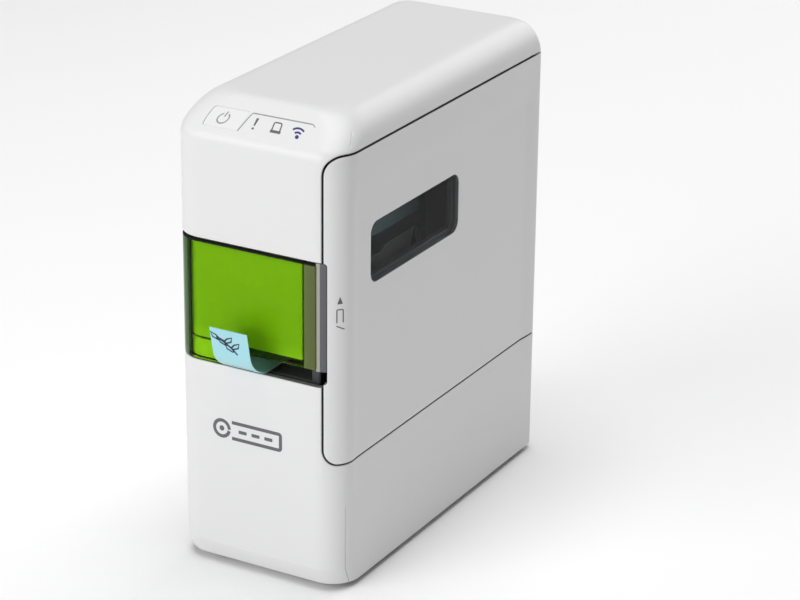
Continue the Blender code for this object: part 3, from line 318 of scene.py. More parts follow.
def surface(s, t, out):
    """The body's surface at (s, t), moved out along its normal. The wall's inside isn't recessed."""
    small = 0.02
    t_middle = min(t, T_TOP - small)
    along = surface_point(s + small, t_middle) - surface_point(s - small, t_middle)
    if s <= small or s >= PERIMETER - small:
        along = Vector((1, 0, 0))
    up = surface_point(s, t_middle + small) - surface_point(s, t_middle - small)
    if t > T_TOP - small:
        normal = Vector((0, 0, 1))
    else:
        normal = up.cross(along).normalized()
    share = min(max(1 + out / WALL, 0.0), 1.0)
    return surface_point(s, t) + normal * (out - share * recess(s, t))


def s_side(y):
    """s on the right side at this y."""
    return STARTS[3] - (y - (FRONT + FRONT_CORNER))


def s_front(x):
    """s on the front at this x, on the flat or on a rounded corner."""
    flat = SIDE - FRONT_CORNER
    if abs(x) <= flat:
        return STARTS[4] + flat - x
    angle = math.acos(min((abs(x) - flat) / FRONT_CORNER, 1.0))
    reach = FRONT_CORNER * (QUARTER - angle)
    return STARTS[4] - reach if x > 0 else STARTS[5] + reach


def s_left(y):
    """s on the left side at this y."""
    return STARTS[6] + (y - (FRONT + FRONT_CORNER))


def s_back(x):
    """s on the back at this x."""
    return x if x >= 0 else PERIMETER + x


# Plates: a shell is made flat, as an outline in s and t with rounded edges, then laid on the body's surface


def rounded_outline(corners, segments=8):
    """A closed outline through corners of (s, t, radius), anticlockwise or clockwise."""
    points = []
    for i, corner in enumerate(corners):
        if corner[2] == 0:
            points.append(Vector(corner[:2]))
        else:
            points += corner_arc(corners[i - 1], corner, corners[(i + 1) % len(corners)], segments)
    return [tuple(p) for p in points]


def rectangle(low, high, radius=0.0, segments=8):
    """A rectangle between two opposite corners, with its corners rounded."""
    corners = [(low[0], low[1]), (high[0], low[1]), (high[0], high[1]), (low[0], high[1])]
    return rounded_outline([(*corner, radius) for corner in corners], segments)


def prism(outline, low, high):
    """A solid with this outline in X and Y, between two heights."""
    bm = bmesh.new()
    bottom = [bm.verts.new((x, y, low)) for x, y in outline]
    top = [bm.verts.new((x, y, high)) for x, y in outline]
    count = len(outline)
    for i in range(count):
        j = (i + 1) % count
        bm.faces.new((bottom[i], bottom[j], top[j], top[i]))
    bm.faces.new(bottom)
    bm.faces.new(top)
    bmesh.ops.recalc_face_normals(bm, faces=bm.faces[:])
    return bm


def new_object(name, bm):
    """An object in the scene that takes over the shape."""
    mesh = bpy.data.meshes.new(name)
    bm.to_mesh(mesh)
    bm.free()
    obj = bpy.data.objects.new(name, mesh)
    bpy.context.scene.collection.objects.link(obj)
    return obj


def cut_out(bm, others):
    """The shape with each of the others cut out of it."""
    base = new_object("boolean_base", bm)
    helpers = []
    for other in others:
        helper = new_object("boolean_helper", other)
        modifier = base.modifiers.new("boolean", "BOOLEAN")
        modifier.operation = "DIFFERENCE"
        modifier.solver = "EXACT"
        modifier.object = helper
        helpers.append(helper)
    evaluated = base.evaluated_get(bpy.context.evaluated_depsgraph_get())
    mesh = bpy.data.meshes.new_from_object(evaluated)
    result = bmesh.new()
    result.from_mesh(mesh)
    bpy.data.meshes.remove(mesh)
    for obj in [base, *helpers]:
        left_mesh = obj.data
        bpy.data.objects.remove(obj)
        bpy.data.meshes.remove(left_mesh)
    return result


def through_wall(outline):
    """A cutting shape that passes through the whole wall of the flat shell."""
    return prism(outline, -WALL - OVERREACH, OVERREACH)


def round_rim(bm, height, edge, skip=lambda middle: False):
    """Rounds the edges where the flat face at this height meets the walls."""
    rim = []
    for item in bm.edges:
        if len(item.link_faces) != 2 or any(abs(v.co.z - height) > WELD for v in item.verts):
            continue
        flat = [abs(face.normal.z) > 0.9 for face in item.link_faces]
        if flat[0] != flat[1] and not skip((item.verts[0].co + item.verts[1].co) / 2):
            rim.append(item)
    if rim and edge > 0:
        rounding = {"segments": 3, "profile": 0.5, "clamp_overlap": True, "loop_slide": False}
        bmesh.ops.bevel(bm, geom=rim, offset=edge, affect="EDGES", **rounding)


def slice_flat(bm, axis, places):
    """Cuts the flat shape along lines, so that it can bend."""
    normal = (1, 0, 0) if axis == "s" else (0, 1, 0)
    for place in places:
        point = (place, 0, 0) if axis == "s" else (0, place, 0)
        geometry = bm.verts[:] + bm.edges[:] + bm.faces[:]
        bmesh.ops.bisect_plane(bm, geom=geometry, dist=HAIR, plane_co=point, plane_no=normal)


def spread(low, high, step):
    """Evenly spaced places inside a span, its ends included."""
    count = max(1, round((high - low) / step))
    return [low + (high - low) * i / count for i in range(count + 1)]


def bend_places():
    """Where a plate is cut so that it follows the corners, the recess and the rounded edges."""
    along = spread(STARTS[1], STARTS[2], BACK_CORNER_STEP) + spread(STARTS[7], STARTS[8], BACK_CORNER_STEP)
    along += spread(STARTS[3], STARTS[4], FRONT_CORNER_STEP)
    along += spread(STARTS[5], STARTS[6], FRONT_CORNER_STEP)
    along += [PARTING_S - PARTING_WIDTH / 2, PARTING_S, PARTING_S + PARTING_WIDTH / 2]
    along += spread(STARTS[3] + RECESS_FRONT[0], STARTS[3], FRONT_CORNER_STEP)
    along += spread(STARTS[2] + RECESS_BACK[0], STARTS[2] + RECESS_BACK[1], RECESS_STEP)
    along += spread(0.0, PERIMETER, ALONG_STEP)[1:-1]
    along += [s_front(OLIVE_X), STARTS[5] + FRONT_CORNER * SHADE_ANGLE]
    slope_top = BODY_BOTTOM + CHAMFER_RISE
    up = spread(SHELL_BOTTOM, slope_top - SLOPE_EDGE, SLOPE_STEP)
    up += spread(slope_top - SLOPE_EDGE, slope_top + SLOPE_EDGE, SLOPE_EDGE_STEP)
    up += spread(*WALL_SPAN, UP_STEP)
    up += spread(*RECESS_LOW, RECESS_STEP) + spread(*RECESS_HIGH, RECESS_STEP)
    up += spread(TOP - BAND_RISE - 3.2, T_TOP, BAND_STEP)[:-1]
    return along, up


def lay_on_body(bm, skin=None):
    """Bends a flat plate of (s, t, distance out) on to the body. Faces below the skin are of slot 1."""
    for face in bm.faces:
        face.material_index = 1 if skin and face.calc_center_median().z < -skin else 0
    for vertex in bm.verts:
        vertex.co = surface(*vertex.co)
    return bm


def finish_shape(name, bm, *material_names):
    """Turns a bmesh in millimetres into a smooth-shaded object in metres."""
    bmesh.ops.remove_doubles(bm, verts=bm.verts[:], dist=WELD)
    bmesh.ops.dissolve_degenerate(bm, dist=HAIR, edges=bm.edges[:])
    bmesh.ops.recalc_face_normals(bm, faces=bm.faces[:])
    bmesh.ops.scale(bm, vec=(MM,) * 3, verts=bm.verts[:])
    obj = new_object(name, bm)
    obj.data.shade_smooth()
    obj.data.set_sharp_from_angle(angle=SHARP_ANGLE)
    for material_name in material_names:
        obj.data.materials.append(bpy.data.materials[material_name])
    return obj


def plate(name, outlines, material, thickness, edge, raised=0.0):
    """A panel on the body with these outlines in s and t, its outer face raised above the surface."""
    bm = joined([prism(outline, raised - thickness, raised) for outline in outlines])
    round_rim(bm, raised, edge)
    slice_to_bend(bm)
    return finish_shape(name, lay_on_body(bm), material)


def slice_to_bend(bm):
    """Cuts a flat plate wherever it has to bend."""
    along, up = bend_places()
    s_values, t_values = [v.co.x for v in bm.verts], [v.co.y for v in bm.verts]
    for axis, places, values in (("s", along, s_values), ("t", up, t_values)):
        slice_flat(bm, axis, [place for place in places if min(values) < place < max(values)])


def box(low, high, edge):
    """A block between two opposite corners, with rounded edges."""
    bm = prism([(low[0], low[1]), (high[0], low[1]), (high[0], high[1]), (low[0], high[1])], low[2], high[2])
    bmesh.ops.bevel(bm, geom=bm.edges[:], offset=edge, segments=3, profile=0.5, affect="EDGES")
    return bm


def joined(shapes):
    """Several closed shapes as one mesh."""
    bm = bmesh.new()
    for shape in shapes:
        mesh = bpy.data.meshes.new("joined")
        shape.to_mesh(mesh)
        shape.free()
        bm.from_mesh(mesh)
        bpy.data.meshes.remove(mesh)
    return bm


# Materials


class Nodes:
    """A short way to write a material's nodes."""

    def __init__(self, name):
        old = bpy.data.materials.get(name)
        if old:
            old.name = name + "_cad"
        self.material = bpy.data.materials.new(name)
        self.material.use_nodes = True
        self.tree = self.material.node_tree
        self.shader = self.tree.nodes["Principled BSDF"]

    def node(self, kind, inputs=None, **settings):
        made = self.tree.nodes.new(kind)
        for key, value in settings.items():
            setattr(made, key, value)
        for key, value in (inputs or {}).items():
            if isinstance(value, bpy.types.NodeSocket):
                self.tree.links.new(value, made.inputs[key])
            else:
                made.inputs[key].default_value = value
        return made

    def set(self, **inputs):
        for key, value in inputs.items():
            socket = self.shader.inputs[key.replace("_", " ").title()]
            if isinstance(value, bpy.types.NodeSocket):
                self.tree.links.new(value, socket)
            else:
                socket.default_value = value

    def coordinates(self, stretch=(1.0, 1.0, 1.0)):
        """Object coordinates in millimetres, so that patterns have a real size."""
        place = self.node("ShaderNodeTexCoord").outputs["Object"]
        scale = tuple(value / MM for value in stretch)
        mapping = self.node("ShaderNodeMapping", {"Vector": place, "Scale": scale})
        return mapping.outputs["Vector"]

    def noise(self, scale, detail=3.0, roughness=0.5, *, coordinates):
        inputs = {"Vector": coordinates, "Scale": scale, "Detail": detail, "Roughness": roughness}
        return self.node("ShaderNodeTexNoise", inputs).outputs["Fac"]

    def between(self, factor, low, high):
        inputs = {"Value": factor, "To Min": low, "To Max": high}
        return self.node("ShaderNodeMapRange", inputs).outputs["Result"]

    def rise(self, place, start, end):
        """A ramp with the height: 0 at the start and 1 at the end."""
        height = self.node("ShaderNodeSeparateXYZ", {"Vector": place}).outputs["Z"]
        inputs = {"Value": height, "From Min": start, "From Max": end}
        return self.node("ShaderNodeMapRange", inputs).outputs["Result"]

    def mix(self, factor, first, second):
        made = self.node("ShaderNodeMix", data_type="RGBA")
        for index, value in ((0, factor), (6, first), (7, second)):
            if isinstance(value, bpy.types.NodeSocket):
                self.tree.links.new(value, made.inputs[index])
            else:
                made.inputs[index].default_value = value
        return made.outputs[2]

    def bump(self, height, strength, distance):
        inputs = {"Height": height, "Strength": strength, "Distance": distance}
        return self.node("ShaderNodeBump", inputs).outputs["Normal"]


def tint(colour, amount):
    """The colour made lighter or darker, with an alpha of 1."""
    return tuple(min(max(c * amount, 0.0), 1.0) for c in colour) + (1.0,)


def moulded(name, colour, roughness, grain=0.12, grain_size=0.35, change=0.03):
    """Moulded plastic: a fine texture, a little unevenness in colour and gloss."""
    nodes = Nodes(name)
    place = nodes.coordinates()
    broad = nodes.noise(0.03, 2.0, coordinates=place)
    fine = nodes.noise(1 / grain_size, 4.0, 0.6, coordinates=place)
    nodes.set(
        base_color=nodes.mix(broad, tint(colour, 1 - change), tint(colour, 1 + change)),
        roughness=nodes.between(fine, roughness - 0.04, roughness + 0.04),
        normal=nodes.bump(fine, grain, 0.00003),
    )


def metal(name, colour, roughness):
    """Drawn or turned metal, with fine lines along one axis."""
    nodes = Nodes(name)
    lines = nodes.noise(1.5, 4.0, 0.6, coordinates=nodes.coordinates((0.2, 4.0, 4.0)))
    nodes.set(
        base_color=nodes.mix(lines, tint(colour, 0.85), tint(colour, 1.1)),
        roughness=nodes.between(lines, roughness - 0.08, roughness + 0.1),
        metallic=1.0,
        normal=nodes.bump(lines, 0.15, 0.00002),
    )


def clear(name, colour, roughness, transmission, speckle=0.0, ior=1.2):
    """Clear or half clear coloured plastic, with the weak reflections of a coated window."""
    nodes = Nodes(name)
    place = nodes.coordinates()
    broad = nodes.noise(0.12, 2.0, coordinates=place)
    nodes.set(
        base_color=nodes.mix(broad, tint(colour, 1 - speckle), tint(colour, 1 + speckle)),
        roughness=roughness,
    )
    nodes.shader.inputs["Transmission Weight"].default_value = transmission
    nodes.shader.inputs["IOR"].default_value = ior


def board():
    """Green solder mask with lighter tracks."""
    nodes = Nodes("board_green")
    place = nodes.coordinates()
    tracks = nodes.node("ShaderNodeTexVoronoi", {"Vector": place, "Scale": 0.35}, distance="CHEBYCHEV")
    line = nodes.node("ShaderNodeMath", {0: tracks.outputs["Distance"], 1: 0.18}, operation="LESS_THAN")
    nodes.set(
        base_color=nodes.mix(line.outputs["Value"], (0.01, 0.10, 0.045, 1), (0.03, 0.19, 0.08, 1)),
        roughness=0.35,
    )


def cell_wrap():
    """A cell's printed sleeve: dark, with bright bands."""
    nodes = Nodes("cell_wrap")
    place = nodes.coordinates()
    along = nodes.node("ShaderNodeSeparateXYZ", {"Vector": place}).outputs["Y"]
    wave = nodes.node("ShaderNodeMath", {0: along, 1: 25.0}, operation="PINGPONG").outputs["Value"]
    band = nodes.node("ShaderNodeMath", {0: wave, 1: 5.0}, operation="LESS_THAN").outputs["Value"]
    nodes.set(base_color=nodes.mix(band, (0.025, 0.028, 0.035, 1), (0.55, 0.42, 0.16, 1)), roughness=0.32)
    nodes.shader.inputs["Metallic"].default_value = 0.3


def lime():
    """The lime panel: painted light makes it lighter towards the label's slot, where light reaches it from
    below, with faint mottling.
    """
    nodes = Nodes("lime_plastic")
    place = nodes.coordinates()
    # Painted light: the panel's lower part is lighter, for the light that falls on it from below
    low = nodes.rise(place, 72.0, 64.0)
    mottle = nodes.noise(0.35, 3.0, coordinates=place)
    plain = nodes.mix(mottle, (0.50, 0.50, 0.20, 1), (0.58, 0.56, 0.26, 1))
    nodes.set(base_color=nodes.mix(low, plain, (0.80, 0.76, 0.40, 1)), roughness=0.5)


def pale_print():
    """Pale grey print, darker towards its lower edge."""
    nodes = Nodes("pale_print")
    fade = nodes.rise(nodes.coordinates(), 73.0, 84.0)
    nodes.set(base_color=nodes.mix(fade, (0.14, 0.14, 0.14, 1), (0.94, 0.94, 0.93, 1)), roughness=0.4)


def make_materials():
    moulded("white_plastic", (0.70, 0.70, 0.705), 0.4, grain=0.06, grain_size=0.25, change=0.01)
    # Painted shade: the shells' insides are dark grey, so that the seams and openings look shaded
    moulded("inner_shade", (0.16, 0.16, 0.163), 0.7)
    moulded("key_plastic", (0.72, 0.72, 0.725), 0.38, grain=0.05, grain_size=0.25, change=0.01)
    clear("green_clear", (0.57, 0.90, 0.12), 0.05, 1.0, 0.02, ior=1.12)
    # Painted shade: the darker, less clear green of the wrapped corner stands for the dark inside seen
    # through it, with a little more absorption through the curve
    clear("green_shade", (0.055, 0.14, 0.03), 0.12, 0.3, 0.05)
    # Painted shade and reflection: the panel's right end, over its lining, is tinted a greyish olive
    clear("olive_shade", (0.16, 0.20, 0.07), 0.12, 0.4, 0.05)
    # Painted shade: the green panel's top rim is near black, for the shadow in the gap above it
    moulded("rim_painted_shade", (0.008, 0.010, 0.008), 0.95, grain=0.02)
    lime()
    moulded("liner_grey", (0.34, 0.30, 0.40), 0.5)
    moulded("pillar_dark", (0.09, 0.09, 0.10), 0.4)
    moulded("pillar_edge", (0.34, 0.34, 0.28), 0.35)
    clear("smoked_clear", (0.92, 0.94, 0.95), 0.03, 1.0, ior=1.08)
    moulded("dark_plastic", (0.045, 0.046, 0.05), 0.5)
    moulded("grey_plastic", (0.24, 0.24, 0.25), 0.5)
    moulded("gear_plastic", (0.72, 0.70, 0.64), 0.4)
    moulded("rubber", (0.025, 0.025, 0.026), 0.85, grain=0.4, grain_size=0.5, change=0.1)
    metal("steel", (0.56, 0.56, 0.58), 0.3)
    metal("aluminium", (0.66, 0.67, 0.69), 0.38)
    metal("brass", (0.70, 0.52, 0.22), 0.28)
    board()
    moulded("ceramic", (0.66, 0.64, 0.58), 0.25, grain=0.03)
    cell_wrap()
    moulded("label_film", (0.34, 0.64, 0.71), 0.32, grain=0.04, change=0.02)
    moulded("teal_print", (0.50, 0.76, 0.74), 0.45, grain=0.05)
    moulded("light_guide", (0.72, 0.75, 0.77), 0.25, grain=0.05)
    moulded("mark_ink", (0.11, 0.11, 0.12), 0.5, grain=0.02)
    moulded("mark_grey", (0.28, 0.28, 0.29), 0.5, grain=0.02)
    moulded("navy_ink", (0.03, 0.03, 0.16), 0.5, grain=0.02)
    moulded("sticker_dark", (0.10, 0.11, 0.115), 0.4, grain=0.03)
    pale_print()
    moulded("label_ink", (0.015, 0.04, 0.075), 0.4, grain=0.02)


def dress_cad_nodes():
    """Each carried-over CAD node takes the material of its slot in the record."""
    slots = {row["node"]: row["material_slot"] for row in frame["record"]["subparts"]}
    for name, obj in frame["nodes"].items():
        material = bpy.data.materials[slots[name]]
        if not obj.material_slots:
            obj.data.materials.append(material)
        for material_slot in obj.material_slots:
            material_slot.material = material


# The shells


def cover_outline(grow=0.0):
    """The cassette cover's outline, made larger all round to give its opening."""
    front = s_front(COVER_FRONT_X - grow)
    back = s_back(HINGE_X) + 0.2 if grow == 0.0 else s_back(HINGE_X - BACK_CORNER - 0.3)
    low, high = COVER[0][2] - grow, COVER[1][2] + grow
    lower, upper = COVER_LOWER_RADIUS + grow, COVER_UPPER_RADIUS + grow
    return rounded_outline([(back, low, 0), (front, low, lower), (front, high, upper), (back, high, 0)])


def exit_outline():
    """The opening in the front that the green window fills, which runs into the cover's opening."""
    right = s_front(COVER_FRONT_X + 1.0)
    left = s_left(EXIT_BACK_Y)
    low, high = EXIT_BOTTOM, EXIT_TOP
    return rounded_outline([(right, low, 0), (left, low, 0.8), (left, high, 0.8), (right, high, 0)], 4)


def key_corners(grow=0.0, grow_left=0.0):
    """The power key's outline on the band, or its opening, which is wider at the left."""
    rise = math.sin(BAND_ANGLE)
    low = t_at(BAND_MIDDLE_Z - (KEY_BELOW + grow) * rise)
    high = t_at(BAND_MIDDLE_Z + (KEY_ABOVE + grow) * rise)
    left = STARTS[5] - KEY[0][0] - (SIDE - FRONT_CORNER) + grow_left
    right = s_front(KEY[1][0] + grow)
    corners = [(right, low), (left, low), (left + KEY_LEAN, high), (right, high)]
    return rounded_outline([(*corner, KEY_RADIUS) for corner in corners], 4)


def jack_hole(steps=32):
    """The round opening for the power inlet."""
    x, z = (JACK[0][0] + JACK[1][0]) / 2, (JACK[0][2] + JACK[1][2]) / 2
    angles = [2 * math.pi * i / steps for i in range(steps)]
    return [(s_back(x) + JACK_RADIUS * math.cos(a), z + JACK_RADIUS * math.sin(a)) for a in angles]


def make_housing():
    """The white housing, with its openings and its closed top."""
    outline = [(0, SHELL_BOTTOM), (PERIMETER, SHELL_BOTTOM), (PERIMETER, T_TOP), (0, T_TOP)]
    holes = [cover_outline(SEAM), exit_outline(), key_corners(0.03, 0.14), jack_hole()]
    bm = cut_out(prism(outline, -WALL, 0), [through_wall(hole) for hole in holes])
    ends = [face for face in bm.faces if abs(face.normal.z) < 0.5 and at_end(face.calc_center_median())]
    bmesh.ops.delete(bm, geom=ends, context="FACES_ONLY")
    round_rim(bm, 0, EDGE, skip=beside_key)
    slice_to_bend(bm)
    lay_on_body(bm, SKIN)
    bmesh.ops.remove_doubles(bm, verts=bm.verts[:], dist=LOOSE_WELD)
    close_top(bm, TOP, 0)
    # The top's inside takes the painted inner shade too
    close_top(bm, TOP - WALL, 1)
    shell = joined([bm, *ledges()])
    obj = finish_shape("housing_shell", shell, "white_plastic", "inner_shade")
    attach(obj, "body")
    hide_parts("main_housing")


def close_top(bm, height, slot):
    """Fills the opening that the bent walls leave at this height, with a face of this slot."""
    rim = [item for item in bm.edges if item.is_boundary and abs(item.verts[0].co.z - height) < LOOSE_WELD]
    cap = bmesh.ops.contextual_create(bm, geom=rim)
    for face in cap["faces"]:
        face.material_index = slot


def beside_key(middle):
    """Whether an edge of the flat housing belongs to the key's opening, which has crisp edges."""
    right, left = s_front(KEY[1][0] + 1.0), s_front(-SIDE + FRONT_CORNER) + 2.0
    return right < middle.x < left and TOP - BAND_RISE - 2.0 < middle.y < T_TOP


def at_end(middle):
    """Whether a wall of the flat housing is where its ends meet, or round its top."""
    return middle.x < LOOSE_WELD or middle.x > PERIMETER - LOOSE_WELD or middle.y > T_TOP - LOOSE_WELD


def ledges():
    """The shelves inside the right side that frame the cover's opening."""
    shelves = ((COVER[0][2] - SEAM - LEDGE, FRONT + 8.0), (COVER[1][2] + SEAM, FRONT + 14.0))
    shapes = []
    for low, y_front in shelves:
        shelf = box((LEDGE_INNER_X, y_front, low), (SIDE - 1.4, BACK - 1.5, low + LEDGE), 0.2)
        # The shelves take the painted inner shade of the shells' insides
        for face in shelf.faces:
            face.material_index = 1
        shapes.append(shelf)
    return shapes


def make_cover():
    """The cassette cover: a panel with a window, and a barrel round the hinge pins."""
    low, high = COVER[0][2], COVER[1][2]
    notch = rectangle((s_front(NOTCH_X), NOTCH_BOTTOM), (s_front(0), EXIT_TOP), 1.0, 4)
    holes = [notch, window_outline(0.3)]
    bm = cut_out(prism(cover_outline(), -WALL, 0), [through_wall(hole) for hole in holes])
    round_rim(bm, 0, EDGE)
    slice_to_bend(bm)
    lay_on_body(bm, SKIN)
    barrel = bmesh.new()
    ends = {"radius1": BARREL_RADIUS, "radius2": BARREL_RADIUS}
    bmesh.ops.create_cone(barrel, cap_ends=True, segments=32, depth=high - low, **ends)
    bmesh.ops.translate(barrel, vec=(HINGE_X, HINGE_Y, (low + high) / 2), verts=barrel.verts[:])
    obj = finish_shape("cover_shell", joined([bm, barrel]), "white_plastic", "inner_shade")
    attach(obj, "cover")
    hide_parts("tape_cover")


def window_outline(grow=0.0):
    """The smoked window's outline, made larger all round to give its opening."""
    low, high = WINDOW
    first, last = s_side(high[1]) - grow, s_side(low[1]) + grow
    return rectangle((first, low[2] - grow), (last, high[2] + grow), PANE_RADIUS + grow)


def make_cover_pane():
    """The smoked window in the cover, set a little below its surface."""
    outlines = [window_outline()]
    obj = plate("side_window_pane", outlines, "smoked_clear", SMOKED_PANE, edge=0.25, raised=-0.25)
    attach(obj, "cover")
    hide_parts("cover_window")


def make_green_window():
    """The clear green panel, wrapped round the front left corner, with a tab beside the label."""
    right, left = s_front(GREEN_RIGHT_X), s_left(GREEN[1][1])
    tab = s_front(TAB_RIGHT_X)
    low, high = GREEN[0][2], GREEN[1][2]
    corners = [(right, high, 0.5), (right, GREEN_BOTTOM, 0.5), (tab, GREEN_BOTTOM, 0.4), (tab, low, 0.4)]
    corners += [(left, low, 0.4), (left, high, 0.5)]
    obj = plate("green_window_pane", [rounded_outline(corners, 4)], "green_clear", GREEN_PANE, edge=0.25)
    for material_name in ("green_shade", "olive_shade", "rim_painted_shade"):
        obj.data.materials.append(bpy.data.materials[material_name])
    shade, olive, rim = 1, 2, 3
    shade_x = -SIDE + FRONT_CORNER * (1 - math.sin(SHADE_ANGLE))
    # Painted shade: the top rim for the gap's shadow and the wrapped corner for the dark inside; the right
    # end is a darker olive with painted reflection
    for face in obj.data.polygons:
        x, _, z = face.center / MM
        if z > high - 0.2:
            face.material_index = rim
        elif x < shade_x:
            face.material_index = shade
        elif x > OLIVE_X:
            face.material_index = olive
    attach(obj, "body")
    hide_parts("front_window")


def backing_plate(name, outlines, material):
    """A thin panel that lies behind the green window."""
    return plate(name, outlines, material, BACKING_THICKNESS, edge=0.15, raised=-BACKING_DEPTH)


def make_window_backing():
    """The lime panel behind the green window, with a step down behind the tab."""
    left, right = STARTS[5] + FRONT_CORNER * PANEL_ANGLE, s_front(BACKING[1][0] - 1.3)
    panel = rectangle((right, BACKING[0][2] + 0.6), (left, GREEN[1][2] - 0.3), 0.3, 3)
    step = rectangle((s_front(TAB_RIGHT_X - 0.6), GREEN[0][2] + 0.2), (left, BACKING[0][2]), 0.3, 3)
    obj = backing_plate("lime_backing", [panel, step], "lime_plastic")
    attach(obj, "body")
    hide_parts("window_backing")


def make_window_liners():
    """Grey linings behind the green window's two ends."""
    left_span = (STARTS[5] + FRONT_CORNER * LINER_ANGLE, s_left(GREEN[1][1]))
    right_span = (s_front(GREEN_RIGHT_X), s_front(BACKING[1][0] - 0.6))
    spans = (left_span, right_span)
    outlines = [rectangle((first, GREEN_BOTTOM), (last, GREEN[1][2] - 0.3), 0.2, 3) for first, last in spans]
    obj = backing_plate("window_liners", outlines, "liner_grey")
    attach(obj, "body")


def make_pillar():
    """The dark strip beside the green window, with a lighter edge next to the window."""
    middle = PILLAR[0][0] + 1.1
    right = NOTCH_X - 0.1
    spans = {"corner_strip": (middle, right), "corner_strip_edge": (PILLAR[0][0] - 0.2, middle)}
    for name, (low_x, high_x) in spans.items():
        outline = rectangle((s_front(high_x), GREEN_BOTTOM - 0.4), (s_front(low_x), PILLAR[1][2]), 0.2, 3)
        material = "pillar_dark" if name == "corner_strip" else "pillar_edge"
        obj = plate(name, [outline], material, WALL, edge=0.15, raised=-0.5)
        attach(obj, "body")
        if name == "corner_strip":
            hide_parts("corner_pillar")


def make_power_key():
    """The key's cap, flush with the band."""
    obj = plate("power_key_cap", [key_corners()], "key_plastic", KEY_THICKNESS, edge=0.04)
    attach(obj, "key")
    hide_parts("power_key")


# Printed marks: flat shapes in their own u and v, laid on the body as a very thin layer


def arc(centre, radius, start, sweep, count=16):
    """Points on an arc, with its angles in degrees."""
    points = []
    for i in range(count + 1):
        angle = math.radians(start + sweep * i / count)
        points.append((centre[0] + radius * math.cos(angle), centre[1] + radius * math.sin(angle)))
    return points


def line_outline(points, width):
    """The outline of a line of even width through the points."""
    left, right = [], []
    for i, point in enumerate(points):
        before = Vector(points[max(i - 1, 0)])
        after = Vector(points[min(i + 1, len(points) - 1)])
        across = (after - before).orthogonal().normalized() * (width / 2)
        left.append(tuple(Vector(point) + across))
        right.append(tuple(Vector(point) - across))
    return left + right[::-1]


def on_band(x, up):
    """A point of the sloped band in s and t, from its x and its distance up the slope from the middle."""
    return STARTS[4] + SIDE - FRONT_CORNER - x, t_at(BAND_MIDDLE_Z + up * math.sin(BAND_ANGLE))


def printed(name, outlines, place, material, body="body"):
    """A thin printed mark. The place function turns its u and v into s and t."""
    laid = [[place(*point) for point in outline] for outline in outlines]
    obj = plate(name, laid, material, PAPER, edge=0, raised=0.04)
    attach(obj, body)


def make_band_marks():
    """The power mark on the key, and the framed status marks beside it."""
    power = [line_outline(arc((0, 0), 1.7, 120, 300), 0.42), line_outline([(0, 0.5), (0, 2.2)], 0.42)]
    key_x = (KEY[0][0] + KEY[1][0]) / 2
    printed("power_mark", power, lambda u, v: on_band(key_x - 1.0 + u, v - 1.1), "mark_grey", "key")
    frame_path = fillet_path([(-6.6, -4.1), (-5.2, 2.1, 0.5), (16.6, 2.1, 0.8), (17.2, 1.3)], 4)
    printed("status_frame", [line_outline(frame_path, 0.36)], on_band, "mark_grey")
    warning = [[(-0.42, 1.9), (0.42, 1.9), (0.24, -0.5), (-0.24, -0.5)], arc((0, -1.4), 0.36, 0, 345, 15)]
    printed("warning_mark", warning, lambda u, v: on_band(-2.5 + u, v - 1.1), "mark_ink")
    case = fillet_path([(-1.3, -1.0), (-1.3, 1.5, 0.5), (1.3, 1.5, 0.5), (1.3, -1.0)], 4)
    cassette = [line_outline(case, 0.4), rectangle((-1.7, -1.75), (1.7, -0.9), 0.2, 3)]
    printed("cassette_mark", cassette, lambda u, v: on_band(4.7 + u, v - 0.9), "mark_ink")
    waves = [line_outline(arc((0, -1.5), radius, 48, 84, 10), 0.6) for radius in (1.5, 2.75)]
    waves.append(arc((0, -1.4), 0.6, 0, 345, 15))
    printed("link_mark", waves, lambda u, v: on_band(11.8 + u, v - 1.1), "navy_ink")


def make_front_mark():
    """A plain pictogram of a roll of tape, with its strip of tape drawn out to the right."""
    hub, line = (-11.2, 42.9), 1.0
    roll = [line_outline(arc(hub, 2.4, 0, 350, 40), line), arc(hub, 0.8, 0, 345, 15)]
    end_x, low, high = 7.9, 40.5, 45.3
    path = fillet_path([(-end_x, low), (end_x, low, 0.6), (end_x, high, 0.6), (-end_x, high)], 4)
    dashes = [rectangle((x, 42.4), (x + 2.6, 43.4), 0.2, 3) for x in (-5.7, -1.5, 2.7)]
    outlines = [*roll, line_outline(path, line), *dashes]
    printed("tape_pictogram", outlines, lambda u, v: (s_front(u), v), "mark_ink")


def make_cover_mark():
    """A triangle that points up, with a small open lid below it, on the cover's rounded front edge."""
    middle = STARTS[4] - FRONT_CORNER * MARK_ANGLE
    lid = fillet_path([(-0.9, 81.0), (-0.9, 84.8, 0.3), (0.9, 84.8, 0.3), (0.9, 81.0)], 3)
    outlines = [[(-0.8, 86.4), (0.8, 86.4), (0.0, 88.5)], line_outline(lid, 0.3)]
    outlines.append(line_outline([(-1.0, 80.1), (1.3, 79.0)], 0.3))
    printed("open_mark", outlines, lambda u, v: (middle - u, v), "mark_ink", "cover")


